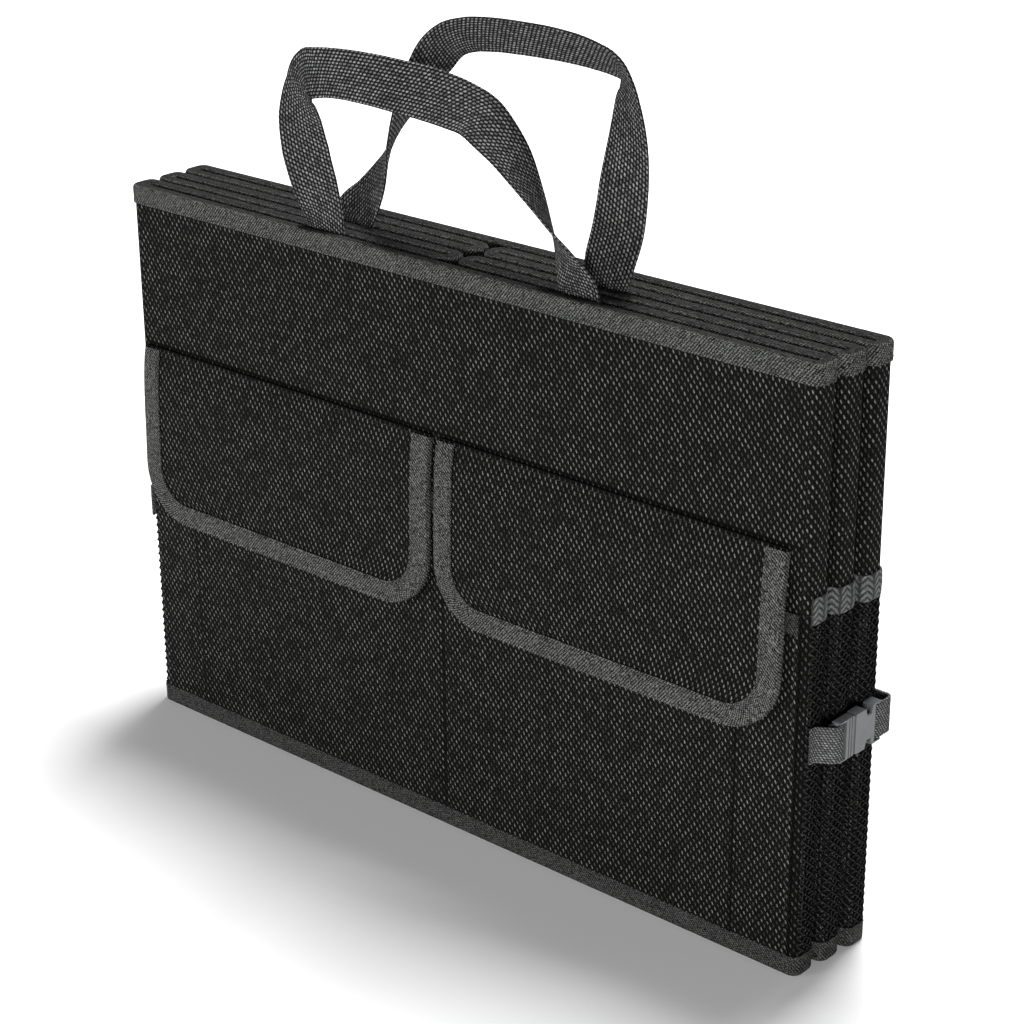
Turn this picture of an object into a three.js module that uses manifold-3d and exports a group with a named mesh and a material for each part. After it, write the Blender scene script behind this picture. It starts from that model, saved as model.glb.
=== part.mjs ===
// A car trunk organizer, folded flat and strapped shut for carrying.
//
// Three accordion packets stand one behind the other. Each packet is two cloth layers with a
// stiff board inside, and hairpin folds join them at both ends. X runs along the front panel,
// Y runs from the front to the back, Z is up. Lengths are in millimetres.

import * as THREE from 'three';
import { mergeVertices } from 'three/addons/utils/BufferGeometryUtils.js';
import Module from 'manifold-3d';

const wasm = await Module();
wasm.setup();

// Overall form
const panelWidth = 443;
const panelHeight = 305;
const packetPitch = 18.5;
const layerSpacing = 9.6;
const packetSlip = 2.0;
const clearance = 0.3;

// Cloth layers and their folds
const boardThickness = 2.4;
const clothSkin = 0.8;
const layerThickness = boardThickness + 2 * (clearance + clothSkin);
const endBend = 2.0;
const apexGap = 2.4;
const bendSteps = 4;
const boardMargin = 9;

// Edge binding
const tape = 0.7;
const topBindingHeight = 10;
const bottomBindingHeight = 10.5;
const bindingRound = 1.6;

// Front pocket and its flaps
const pocketCloth = 1.0;
const pocketMouthZ = 186;
const mouthTapeHeight = 9;
const pleatX = 184;
const pleatWidth = 7;
const pleatHeight = 0.7;
const seamGroove = 3;
const creaseZ = 217;
const flapLength = 98;
const flapSideMargin = 8.5;
const flapMiddleGap = 4.4;
const flapCorner = 25;
const flapCloth = 1.4;
const flapBulge = 3.6;
const flapRoll = 14;
const flapBindingWidth = 11.5;
const flapBindingStart = 4;

// Hook and loop closures
const closureWidth = 60;
const closureHeight = 18;
const closureZ = 145;
const closureThickness = 0.8;

// Side wall pockets
const meshThickness = 0.8;
const bandThickness = 0.9;
const bandLowZ = 182;
const bandHighZ = 195;
const meshHolePitch = 6.5;
const meshHoleHeight = 4.6;
const meshHoleWidth = 3.4;

// Compartment floor and divider
const baseCloth = 0.4;
const baseClothGap = 0.25;
const dividerThickness = 1.2;
const dividerDrop = 23;
const baseLeaf = 1.05;

// Closing straps and their side-release buckles
const strapWidth = 18.5;
const strapThickness = 1.2;
const strapZ = 122.3;
const buckleHeight = 20.5;
const buckleThickness = 5.6;
const buckleWall = 1.3;
const buckleMouthY = 24.5;
const femaleLength = 21;
const cavityDepth = 15;
const maleFrameLength = 12;
const barLength = 2.3;
const barDepth = 2.6;
const slotLength = 3.2;
const armLength = 11;
const guideLength = 13;
const buckleRun = 0.3;
const windowLength = 5;
const rearStrapTail = 30;
const rearStrapSlack = 4.2;

// Carrying handles
const handleWidth = 25;
const handleThickness = 1.4;
const handleReach = 82;
const frontHandleRise = 82;
const rearHandleRise = 94;
const handleTuck = 40;

// Levels that follow from the sizes above
const firstLayerY = layerThickness / 2;
const layerY = [0, 1, 2, 3, 4, 5].map((k) => firstLayerY + Math.floor(k / 2) * packetPitch + (k % 2) * layerSpacing);
const backFaceY = layerY[5] + layerThickness / 2;
const skirt = layerThickness / 2 + clearance;
const skirtOuter = skirt + tape;
const clothLowZ = tape + clearance;
const clothHighZ = panelHeight - tape - clearance;
const dividerTopZ = panelHeight - dividerDrop;
const halfWidth = panelWidth / 2;
const seamX = halfWidth - layerThickness / 2 - endBend;
const apexX = apexGap / 2 + skirtOuter;
const foldSpacing = packetPitch - layerSpacing;
const apexBend = foldSpacing / 2 - 0.15;
const slitFace = layerThickness / 2 + clearance;

// Colours of the cloths, tapes and plastics
const cloth = { color: 0x15171a, roughness: 0.92, metalness: 0 };
const board = { color: 0x2b2b2d, roughness: 0.7, metalness: 0 };
const bindingTape = { color: 0x4b4e52, roughness: 0.9, metalness: 0 };
const lining = { color: 0x1d1f22, roughness: 0.95, metalness: 0 };
const net = { color: 0x101113, roughness: 0.85, metalness: 0 };
const elastic = { color: 0x53565a, roughness: 0.9, metalness: 0 };
const webbing = { color: 0x3e4145, roughness: 0.9, metalness: 0 };
const strapTape = { color: 0x6a6d71, roughness: 0.85, metalness: 0 };
const plastic = { color: 0x73767a, roughness: 0.45, metalness: 0 };
const closure = { color: 0x0f1011, roughness: 0.98, metalness: 0 };

const organizer = new THREE.Group();

function addPart(name, geometry, finish) {
  const mesh = new THREE.Mesh(geometry, new THREE.MeshStandardMaterial(finish));
  mesh.name = name;
  organizer.add(mesh);
  return mesh;
}

// Closed solids for the cuts and joins

function toSolid(geometry) {
  const bare = geometry.clone();
  bare.deleteAttribute('normal');
  bare.deleteAttribute('uv');
  const merged = mergeVertices(bare, 1e-5);
  const triVerts = Uint32Array.from(merged.index.array);
  const vertProperties = Float32Array.from(merged.attributes.position.array);
  return new wasm.Manifold(new wasm.Mesh({ numProp: 3, vertProperties, triVerts }));
}

function toGeometry(solid) {
  const mesh = solid.getMesh();
  const geometry = new THREE.BufferGeometry();
  geometry.setAttribute('position', new THREE.BufferAttribute(Float32Array.from(mesh.vertProperties), 3));
  geometry.setIndex(new THREE.BufferAttribute(Uint32Array.from(mesh.triVerts), 1));
  return geometry;
}

function block(x0, x1, y0, y1, z0, z1) {
  const box = new THREE.BoxGeometry(x1 - x0, y1 - y0, z1 - z0);
  box.translate((x0 + x1) / 2, (y0 + y1) / 2, (z0 + z1) / 2);
  return box;
}

// An indexed geometry whose faces point out, whichever way round its triangles came
function closedGeometry(points, triangles) {
  let volume = 0;
  for (const [a, b, c] of triangles) volume += points[a].dot(points[b].clone().cross(points[c]));
  const ordered = volume > 0 ? triangles : triangles.map(([a, b, c]) => [a, c, b]);
  const geometry = new THREE.BufferGeometry();
  geometry.setAttribute('position', new THREE.Float32BufferAttribute(points.flatMap((p) => [p.x, p.y, p.z]), 3));
  geometry.setIndex(ordered.flat());
  return geometry;
}

// Rings of equal length joined into a tube, with flat ends or closed on itself
function joinRings(rings, closed, outline) {
  const count = rings[0].length;
  const points = rings.flat();
  const triangles = [];
  const last = closed ? rings.length : rings.length - 1;
  for (let i = 0; i < last; i += 1) {
    const here = i * count;
    const next = ((i + 1) % rings.length) * count;
    for (let j = 0; j < count; j += 1) {
      const k = (j + 1) % count;
      triangles.push([here + j, here + k, next + j]);
      triangles.push([here + k, next + k, next + j]);
    }
  }
  if (!closed) {
    const cap = THREE.ShapeUtils.triangulateShape(outline, []);
    const end = (rings.length - 1) * count;
    const outward = THREE.ShapeUtils.isClockWise(outline) ? -1 : 1;
    for (const [a, b, c] of cap) {
      triangles.push(outward > 0 ? [a, c, b] : [a, b, c]);
      triangles.push(outward > 0 ? [end + a, end + b, end + c] : [end + a, end + c, end + b]);
    }
    if (outward < 0) return closedGeometry(points, flipSides(triangles, last * count * 2));
  }
  return closedGeometry(points, triangles);
}

function flipSides(triangles, sideCount) {
  return triangles.map(([a, b, c], i) => (i < sideCount ? [a, c, b] : [a, b, c]));
}

// A track is a plan view path: corners with the bend radius of its middle line.
// Its offset to the right hand side of travel keeps each bend round.
function offsetTrack(track, offset, closed) {
  const count = track.length;
  const points = [];
  for (let i = 0; i < count; i += 1) {
    const here = track[i];
    const from = track[(i - 1 + count) % count];
    const to = track[(i + 1) % count];
    const isEnd = !closed && (i === 0 || i === count - 1);
    const away = isEnd && i === 0 ? to : here;
    const back = isEnd && i === 0 ? here : from;
    const u = new THREE.Vector2(away.x - back.x, away.y - back.y).normalize();
    const corner = new THREE.Vector2(here.x, here.y);
    if (isEnd) {
      points.push(corner.add(new THREE.Vector2(u.y, -u.x).multiplyScalar(offset)));
      continue;
    }
    const v = new THREE.Vector2(to.x - here.x, to.y - here.y).normalize();
    const side = new THREE.Vector2(u.y + v.y, -u.x - v.x);
    side.multiplyScalar(offset / (1 + u.dot(v)));
    corner.add(side);
    const turn = Math.atan2(u.x * v.y - u.y * v.x, u.dot(v));
    const radius = Math.max(here.r + Math.sign(turn) * offset, clearance);
    const reach = radius * Math.tan(Math.abs(turn) / 2);
    const start = corner.clone().addScaledVector(u, -reach);
    const centre = start.clone().addScaledVector(new THREE.Vector2(-u.y, u.x), Math.sign(turn) * radius);
    for (let k = 0; k <= bendSteps; k += 1) {
      const spoke = start.clone().sub(centre);
      points.push(spoke.rotateAround(new THREE.Vector2(), (turn * k) / bendSteps).add(centre));
    }
  }
  return points;
}

// A section drawn as (offset, height) points, swept along a track
function sweepTrack(track, section, closed) {
  const edges = section.map(([offset, height]) => ({ line: offsetTrack(track, offset, closed), height }));
  const rings = edges[0].line.map((_, i) => edges.map(({ line, height }) => new THREE.Vector3(line[i].x, line[i].y, height)));
  const outline = section.map(([offset, height]) => new THREE.Vector2(offset, height));
  return joinRings(rings, closed, outline);
}

function bandSection(offset0, offset1, z0, z1) {
  return [[offset0, z0], [offset1, z0], [offset1, z1], [offset0, z1]];
}

// A flat tape along a path: its middle points and the directions of its width
function ribbon(middles, widths, width, thickness, steps) {
  const path = new THREE.CatmullRomCurve3(middles, false, 'centripetal');
  const broad = new THREE.CatmullRomCurve3(widths, false, 'centripetal');
  const rings = [];
  for (let i = 0; i <= steps; i += 1) {
    const share = i / steps;
    const middle = path.getPoint(share);
    const along = path.getTangent(share);
    const index = share * (widths.length - 1);
    const low = Math.min(Math.floor(index), widths.length - 2);
    const across = widths[low].clone().lerp(widths[low + 1], index - low);
    across.addScaledVector(along, -along.dot(across)).normalize();
    const through = along.clone().cross(across).normalize();
    rings.push([[-1, -1], [1, -1], [1, 1], [-1, 1]].map(([a, b]) => middle.clone()
      .addScaledVector(across, (a * width) / 2)
      .addScaledVector(through, (b * thickness) / 2)));
  }
  const outline = [[-1, -1], [1, -1], [1, 1], [-1, 1]].map(([a, b]) => new THREE.Vector2(a, b));
  return joinRings(rings, false, outline);
}

// The folded walls

function packetEnd(packet, side) {
  const slip = side > 0 ? packet * packetSlip : 0;
  return side * (halfWidth - layerThickness / 2 + slip);
}

function seamAt(layer, side) {
  const slip = side > 0 && layer === 5 ? 2 * packetSlip : 0;
  return side * (seamX + slip);
}

// From the front seam to the back seam of one side wall
function wallTrack(side) {
  const track = [{ x: seamAt(0, side) + side * clearance / 2, y: layerY[0], r: 0 }];
  for (let packet = 0; packet < 3; packet += 1) {
    track.push({ x: packetEnd(packet, side), y: layerY[2 * packet], r: endBend });
    track.push({ x: packetEnd(packet, side), y: layerY[2 * packet + 1], r: endBend });
    if (packet < 2) {
      track.push({ x: side * apexX, y: layerY[2 * packet + 1], r: apexBend });
      track.push({ x: side * apexX, y: layerY[2 * packet + 2], r: apexBend });
    }
  }
  track.push({ x: seamAt(5, side) + side * clearance / 2, y: layerY[5], r: 0 });
  return side > 0 ? track : track.reverse();
}

function rimTrack() {
  return [...wallTrack(1).slice(1, -1), ...wallTrack(-1).slice(1, -1)];
}

// A pocket between the two cloth skins, open at the top and at the foot, that holds a board
function boardSpace(x0, x1, layer, spare) {
  const depth = boardThickness / 2 + spare;
  const low = spare > 0 ? clothLowZ - 1 : clothLowZ;
  const high = spare > 0 ? clothHighZ + 1 : clothHighZ;
  return block(x0 - spare, x1 + spare, layerY[layer] - depth, layerY[layer] + depth, low, high);
}

function boardSpan(layer, side) {
  const packet = Math.floor(layer / 2);
  const outer = Math.abs(packetEnd(packet, side)) - boardMargin;
  const inner = apexX + boardMargin;
  return side > 0 ? [inner, outer] : [-outer, -inner];
}

function makeFlatPanel(name, layer) {
  const x0 = seamAt(layer, -1) + clearance / 2;
  const x1 = seamAt(layer, 1) - clearance / 2;
  const skin = block(x0, x1, layerY[layer] - layerThickness / 2, layerY[layer] + layerThickness / 2, clothLowZ, clothHighZ);
  const span = [x0 + boardMargin, x1 - boardMargin];
  const sleeve = toSolid(skin).subtract(toSolid(boardSpace(span[0], span[1], layer, clearance)));
  addPart(`${name}_panel`, toGeometry(sleeve), cloth);
  addPart(`${name}_board`, boardSpace(span[0], span[1], layer, 0), board);
}

function makeSideWall(name, side) {
  const section = bandSection(-layerThickness / 2, layerThickness / 2, clothLowZ, clothHighZ);
  let wall = toSolid(sweepTrack(wallTrack(side), section, false));
  for (let layer = 1; layer <= 4; layer += 1) {
    const [x0, x1] = boardSpan(layer, side);
    wall = wall.subtract(toSolid(boardSpace(x0, x1, layer, clearance)));
    addPart(`${name}_wall_board_${layer}`, boardSpace(x0, x1, layer, 0), board);
  }
  addPart(`${name}_side_wall`, toGeometry(wall), cloth);
}

// Binding tape: a folded tape over the rim, and one round the foot that leaves the inside open
function makeBindings() {
  const low = panelHeight - topBindingHeight;
  const shoulder = panelHeight - bindingRound;
  const soft = bindingRound * 0.3;
  const top = [
    [-skirtOuter, low], [-skirtOuter, shoulder], [-skirtOuter + soft, panelHeight - soft],
    [-skirtOuter + bindingRound, panelHeight], [skirtOuter - bindingRound, panelHeight],
    [skirtOuter - soft, panelHeight - soft], [skirtOuter, shoulder], [skirtOuter, low],
    [skirt, low], [skirt, panelHeight - tape], [-skirt, panelHeight - tape], [-skirt, low],
  ];
  addPart('top_binding', sweepTrack(rimTrack(), top, true), bindingTape);
  const inner = -layerThickness / 2;
  const foot = [
    [inner, 0], [skirtOuter - soft, 0], [skirtOuter, soft], [skirtOuter, bottomBindingHeight],
    [skirt, bottomBindingHeight], [skirt, tape], [inner, tape],
  ];
  addPart('bottom_binding', sweepTrack(rimTrack(), foot, true), bindingTape);
}

// Front pocket: one cloth, sewn down in the middle, with a pleat on each side
function makeFrontPocket() {
  const edge = seamX - clearance;
  const inner = -clearance;
  const outer = inner - pocketCloth;
  const sewn = inner - pocketCloth / 2;
  const low = bottomBindingHeight + clearance;
  const rightHalf = [[seamGroove / 2, sewn], [seamGroove, outer], [edge, outer], [edge, inner]];
  const leftHalf = rightHalf.map(([x, y]) => [-x, y]).reverse();
  const outline = new THREE.Shape([...leftHalf, ...rightHalf].map(([x, y]) => new THREE.Vector2(x, y)));
  const sheet = new THREE.ExtrudeGeometry(outline, { depth: pocketMouthZ - low, bevelEnabled: false });
  sheet.translate(0, 0, low);
  let pocket = toSolid(sheet);
  const pleatTop = pocketMouthZ - mouthTapeHeight - clearance;
  for (const x of [-pleatX, pleatX]) {
    pocket = pocket.add(toSolid(block(x - pleatWidth / 2, x + pleatWidth / 2, outer - pleatHeight, sewn, low, pleatTop)));
  }
  addPart('front_pocket_panel', toGeometry(pocket), cloth);
  const front = outer - clearance;
  const lip = pocketMouthZ + clearance;
  const section = new THREE.Shape([
    [front - tape, pocketMouthZ - mouthTapeHeight], [front - tape, lip + tape], [inner, lip + tape],
    [inner, lip], [front, lip], [front, pocketMouthZ - mouthTapeHeight],
  ].map(([y, z]) => new THREE.Vector2(y, z)));
  const tapeStrip = new THREE.ExtrudeGeometry(section, { depth: 2 * edge, bevelEnabled: false });
  tapeStrip.applyMatrix4(new THREE.Matrix4().makeBasis(
    new THREE.Vector3(0, 1, 0),
    new THREE.Vector3(0, 0, 1),
    new THREE.Vector3(1, 0, 0),
  ));
  tapeStrip.translate(-edge, 0, 0);
  addPart('pocket_mouth_binding', tapeStrip, bindingTape);
}

// The flaps hang from the crease and stand off the pocket below it
const flapRootY = -clearance - flapCloth / 2;

function flapLine(drop) {
  const lean = flapBulge * (1 - Math.exp(-drop / flapRoll));
  return new THREE.Vector2(flapRootY - lean, creaseZ - drop);
}

function onFlap(x, drop, lift) {
  const here = flapLine(drop);
  const ahead = flapLine(drop + 0.5);
  const along = ahead.clone().sub(here).normalize();
  return new THREE.Vector3(x, here.x + along.y * lift, here.y - along.x * lift);
}

function flapEnds(side) {
  const near = flapMiddleGap / 2;
  const far = halfWidth - flapSideMargin;
  return side > 0 ? [near, far] : [-far, -near];
}

function makeFlap(name, side) {
  const edgeRoom = clearance + tape;
  const [x0, x1] = flapEnds(side);
  const radius = flapCorner - edgeRoom;
  const bottom = flapLength - edgeRoom;
  const straightDrops = [0, 3, 7, 12, 18, 26, 38, 54, bottom - radius];
  const roundDrops = [1, 2, 3, 4, 5, 6].map((k) => bottom - radius + radius * Math.sin((k * Math.PI) / 12));
  const rings = [...straightDrops, ...roundDrops].map((drop) => {
    const rise = Math.max(drop - (bottom - radius), 0);
    const pull = radius - Math.sqrt(Math.max(radius * radius - rise * rise, 0));
    const left = x0 + edgeRoom + pull;
    const right = x1 - edgeRoom - pull;
    const half = flapCloth / 2;
    return [onFlap(left, drop, -half), onFlap(right, drop, -half), onFlap(right, drop, half), onFlap(left, drop, half)];
  });
  const outline = [[0, 0], [1, 0], [1, 1], [0, 1]].map(([a, b]) => new THREE.Vector2(a, b));
  addPart(`${name}_flap`, joinRings(rings, false, outline), cloth);

  // The binding follows the two sides, the round corners and the lower edge
  const stops = [];
  for (const drop of [flapBindingStart, 8, 14, 22, 34, 52, flapLength - flapCorner]) stops.push({ x: x0, drop, inX: 1, inDrop: 0 });
  for (let k = 1; k <= 6; k += 1) {
    const angle = (k * Math.PI) / 12;
    const x = x0 + flapCorner * (1 - Math.cos(angle));
    const drop = flapLength - flapCorner * (1 - Math.sin(angle));
    stops.push({ x, drop, inX: Math.cos(angle), inDrop: -Math.sin(angle) });
  }
  const mirrored = stops.map(({ x, drop, inX, inDrop }) => ({ x: x0 + x1 - x, drop, inX: -inX, inDrop }));
  const route = [...stops, ...mirrored.reverse()];
  const hold = flapCloth / 2 + clearance;
  const face = hold + tape;
  const section = [
    [tape / 2, -face], [flapBindingWidth, -face], [flapBindingWidth, -hold], [tape, -hold],
    [tape, hold], [flapBindingWidth, hold], [flapBindingWidth, face], [tape / 2, face], [0, hold], [0, -hold],
  ];
  const bindingRings = route.map(({ x, drop, inX, inDrop }) => section
    .map(([inset, lift]) => onFlap(x + inX * inset, drop + inDrop * inset, lift)));
  const bindingOutline = section.map(([a, b]) => new THREE.Vector2(a, b));
  addPart(`${name}_flap_binding`, joinRings(bindingRings, false, bindingOutline), bindingTape);

  // Hook tape under the flap, loop tape on the pocket behind it
  const middle = (x0 + x1) / 2;
  const z0 = closureZ - closureHeight / 2;
  const z1 = closureZ + closureHeight / 2;
  const flapInner = flapLine(creaseZ - closureZ).x + flapCloth / 2 + clearance;
  const pocketOuter = -2 * clearance - pocketCloth;
  const hook = block(middle - closureWidth / 2, middle + closureWidth / 2, flapInner, flapInner + closureThickness, z0, z1);
  const loop = block(middle - closureWidth / 2, middle + closureWidth / 2, pocketOuter - closureThickness, pocketOuter, z0, z1);
  addPart(`${name}_flap_hook_tape`, hook, closure);
  addPart(`${name}_pocket_loop_tape`, loop, closure);
}

// Mesh pocket on a side wall, sewn in at the seams, with an elastic band along its mouth
function makeMeshPocket(name, side) {
  const low = bottomBindingHeight + clearance;
  const high = bandLowZ - clearance;
  let mesh = toSolid(sweepTrack(wallTrack(side), bandSection(slitFace, slitFace + meshThickness, low, high), false));
  const rows = Math.floor((high - low - meshHolePitch) / meshHolePitch);
  const spare = (high - low - (rows - 1) * meshHolePitch) / 2;
  const halfHole = meshHoleWidth / 2;
  const diamond = new THREE.Shape([
    new THREE.Vector2(-halfHole, 0), new THREE.Vector2(0, -meshHoleHeight / 2),
    new THREE.Vector2(halfHole, 0), new THREE.Vector2(0, meshHoleHeight / 2),
  ]);
  const depth = meshThickness + 2 * clearance;
  for (let packet = 0; packet < 3; packet += 1) {
    const face = Math.abs(packetEnd(packet, side)) + slitFace - clearance;
    const middle = (layerY[2 * packet] + layerY[2 * packet + 1]) / 2;
    for (let row = 0; row < rows; row += 1) {
      const hole = new THREE.ExtrudeGeometry(diamond, { depth, bevelEnabled: false });
      hole.applyMatrix4(new THREE.Matrix4().makeBasis(
        new THREE.Vector3(0, 1, 0),
        new THREE.Vector3(0, 0, 1),
        new THREE.Vector3(1, 0, 0),
      ));
      hole.translate(side > 0 ? face : -face - depth, middle, low + spare + row * meshHolePitch);
      mesh = mesh.subtract(toSolid(hole));
    }
  }
  addPart(`${name}_mesh_pocket`, toGeometry(mesh), net);
  const band = bandSection(slitFace, slitFace + bandThickness, bandLowZ, bandHighZ);
  addPart(`${name}_elastic_band`, sweepTrack(wallTrack(side), band, false), elastic);
}

// Compartment floor: a cloth folded like the bottom of a paper bag, up into two packets.
// In each packet it is a doubled triangle, and a narrow bridge joins them between the wall folds.
function makeBaseCloth(name, frontY, rearY, hemY, hemSide) {
  const half = halfWidth - layerThickness - clearance;
  const deep = 2 * baseCloth + baseClothGap;
  const bridge = 2 * baseCloth + 1;
  const triangle = (inset, low, y0, y1) => {
    const reach = half - inset * Math.SQRT2;
    const outline = new THREE.Shape([
      new THREE.Vector2(-reach - (clothLowZ - low), low),
      new THREE.Vector2(reach + (clothLowZ - low), low),
      new THREE.Vector2(0, clothLowZ + reach),
    ]);
    const flat = new THREE.ExtrudeGeometry(outline, { depth: y1 - y0, bevelEnabled: false });
    flat.rotateX(Math.PI / 2);
    flat.translate(0, y1, 0);
    return toSolid(flat);
  };
  const top = clothLowZ + half - bridge;
  const outer = triangle(0, clothLowZ, frontY, frontY + deep)
    .add(triangle(0, clothLowZ, rearY, rearY + deep))
    .add(toSolid(block(-bridge / 2, bridge / 2, frontY + deep / 2, rearY + deep / 2, clothLowZ, top)));
  const low = clothLowZ - 1;
  const hollow = triangle(baseCloth, low, frontY + baseCloth, frontY + deep - baseCloth)
    .add(triangle(baseCloth, low, rearY + baseCloth, rearY + deep - baseCloth))
    .add(toSolid(block(baseCloth - bridge / 2, bridge / 2 - baseCloth, frontY + baseCloth, rearY + deep - baseCloth, low, top - baseCloth)));
  const edge = hemSide > 0 ? rearY + deep - baseCloth : frontY + baseCloth;
  const hem = toSolid(block(-half, half, Math.min(hemY, edge), Math.max(hemY, edge), clothLowZ, clothLowZ + baseCloth));
  addPart(name, toGeometry(outer.subtract(hollow).add(hem)), lining);
}

// Insert board: two leaves folded together at the top, standing on the hem of the floor cloth
function makeBaseBoard(name, y0) {
  const half = halfWidth - layerThickness - 2 * clearance;
  const low = clothLowZ + baseCloth + clearance;
  const high = low + half;
  const folded = toSolid(block(-half, half, y0, y0 + 2 * baseLeaf + clearance, low, high));
  const slot = toSolid(block(-half - 1, half + 1, y0 + baseLeaf, y0 + baseLeaf + clearance, low - 1, high - baseLeaf));
  addPart(name, toGeometry(folded.subtract(slot)), board);
}

function makeInside() {
  const deep = 2 * baseCloth + baseClothGap;
  const boardDepth = 2 * baseLeaf + clearance;
  const frontBoardY = layerY[0] + slitFace;
  const rearBoardY = layerY[5] - slitFace - boardDepth;
  const dividerY = (layerY[2] + layerY[3]) / 2 - dividerThickness / 2 + clearance;
  const firstY = frontBoardY + boardDepth + clearance;
  const secondY = layerY[2] + slitFace;
  const thirdY = layerY[3] - slitFace - deep;
  const fourthY = rearBoardY - clearance - deep;
  makeBaseCloth('base_cloth_front', firstY, secondY, layerY[0] + slitFace, -1);
  makeBaseCloth('base_cloth_rear', thirdY, fourthY, layerY[5] - slitFace, 1);
  makeBaseBoard('base_board_front', frontBoardY);
  makeBaseBoard('base_board_rear', rearBoardY);
  const half = halfWidth - layerThickness - clearance;
  const divider = block(-half, half, dividerY, dividerY + dividerThickness, clothLowZ, dividerTopZ);
  addPart('divider_panel', divider, lining);
}

// Closing straps. Buckle parts are drawn in (Y, Z) about the strap's middle and given a depth in X.

function plate(outline, x0, x1, side) {
  const flat = new THREE.ExtrudeGeometry(outline, { depth: x1 - x0, bevelEnabled: false, curveSegments: 4 });
  flat.applyMatrix4(new THREE.Matrix4().makeBasis(
    new THREE.Vector3(0, 1, 0),
    new THREE.Vector3(0, 0, 1),
    new THREE.Vector3(1, 0, 0),
  ));
  flat.translate(side > 0 ? x0 : -x1, 0, strapZ);
  return toSolid(flat);
}

function roundedOutline(y0, y1, halfHeight, radius) {
  const shape = new THREE.Shape();
  shape.moveTo(y0 + radius, -halfHeight);
  shape.lineTo(y1 - radius, -halfHeight);
  shape.absarc(y1 - radius, radius - halfHeight, radius, -Math.PI / 2, 0, false);
  shape.lineTo(y1, halfHeight - radius);
  shape.absarc(y1 - radius, halfHeight - radius, radius, 0, Math.PI / 2, false);
  shape.lineTo(y0 + radius, halfHeight);
  shape.absarc(y0 + radius, halfHeight - radius, radius, Math.PI / 2, Math.PI, false);
  shape.lineTo(y0, radius - halfHeight);
  shape.absarc(y0 + radius, radius - halfHeight, radius, Math.PI, 1.5 * Math.PI, false);
  return shape;
}

function polygon(corners) {
  return new THREE.Shape(corners.map(([y, z]) => new THREE.Vector2(y, z)));
}

function buckleInnerX(side) {
  const slip = side > 0 ? 2 * packetSlip : 0;
  return halfWidth + slip + clearance + meshThickness + clearance;
}

function makeFemaleBuckle(name, side) {
  const x0 = buckleInnerX(side);
  const x1 = x0 + buckleThickness;
  const y0 = buckleMouthY;
  const y1 = buckleMouthY + femaleLength;
  const half = buckleHeight / 2;
  const body = plate(roundedOutline(y0, y1, half, 1.4), x0, x1, side);
  const cavityHalf = half - buckleWall;
  const cavity = plate(polygon([
    [y0 - 1, -cavityHalf], [y0 + cavityDepth, -cavityHalf], [y0 + cavityDepth, cavityHalf], [y0 - 1, cavityHalf],
  ]), x0 + buckleWall, x1 - buckleWall, side);
  let shell = body.subtract(cavity);
  // Side windows, where the arms are squeezed, with a sloping edge towards the strap
  const w0 = y0 + 7.5;
  for (const up of [-1, 1]) {
    const window = plate(polygon([
      [w0, up * (half + 1)], [w0 + 1.6, up * (half - 4)], [w0 + windowLength, up * (half - 4)],
      [w0 + windowLength + 1.2, up * (half + 1)],
    ]), x0 - 1, x1 + 1, side);
    shell = shell.subtract(window);
  }
  const slot = plate(polygon([
    [y1 - barLength - slotLength, -strapWidth / 2 - clearance], [y1 - barLength, -strapWidth / 2 - clearance],
    [y1 - barLength, strapWidth / 2 + clearance], [y1 - barLength - slotLength, strapWidth / 2 + clearance],
  ]), x0 - 1, x1 + 1, side);
  shell = shell.subtract(slot);
  // The strap bar is thinner than the body
  const spare = (buckleThickness - barDepth) / 2;
  for (const [a, b] of [[x0 - 1, x0 + spare], [x1 - spare, x1 + 1]]) {
    shell = shell.subtract(plate(polygon([
      [y1 - barLength - 0.1, -strapWidth / 2 - clearance], [y1 + 1, -strapWidth / 2 - clearance],
      [y1 + 1, strapWidth / 2 + clearance], [y1 - barLength - 0.1, strapWidth / 2 + clearance],
    ]), a, b, side));
  }
  addPart(`${name}_buckle_female`, toGeometry(shell), plastic);
}

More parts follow.
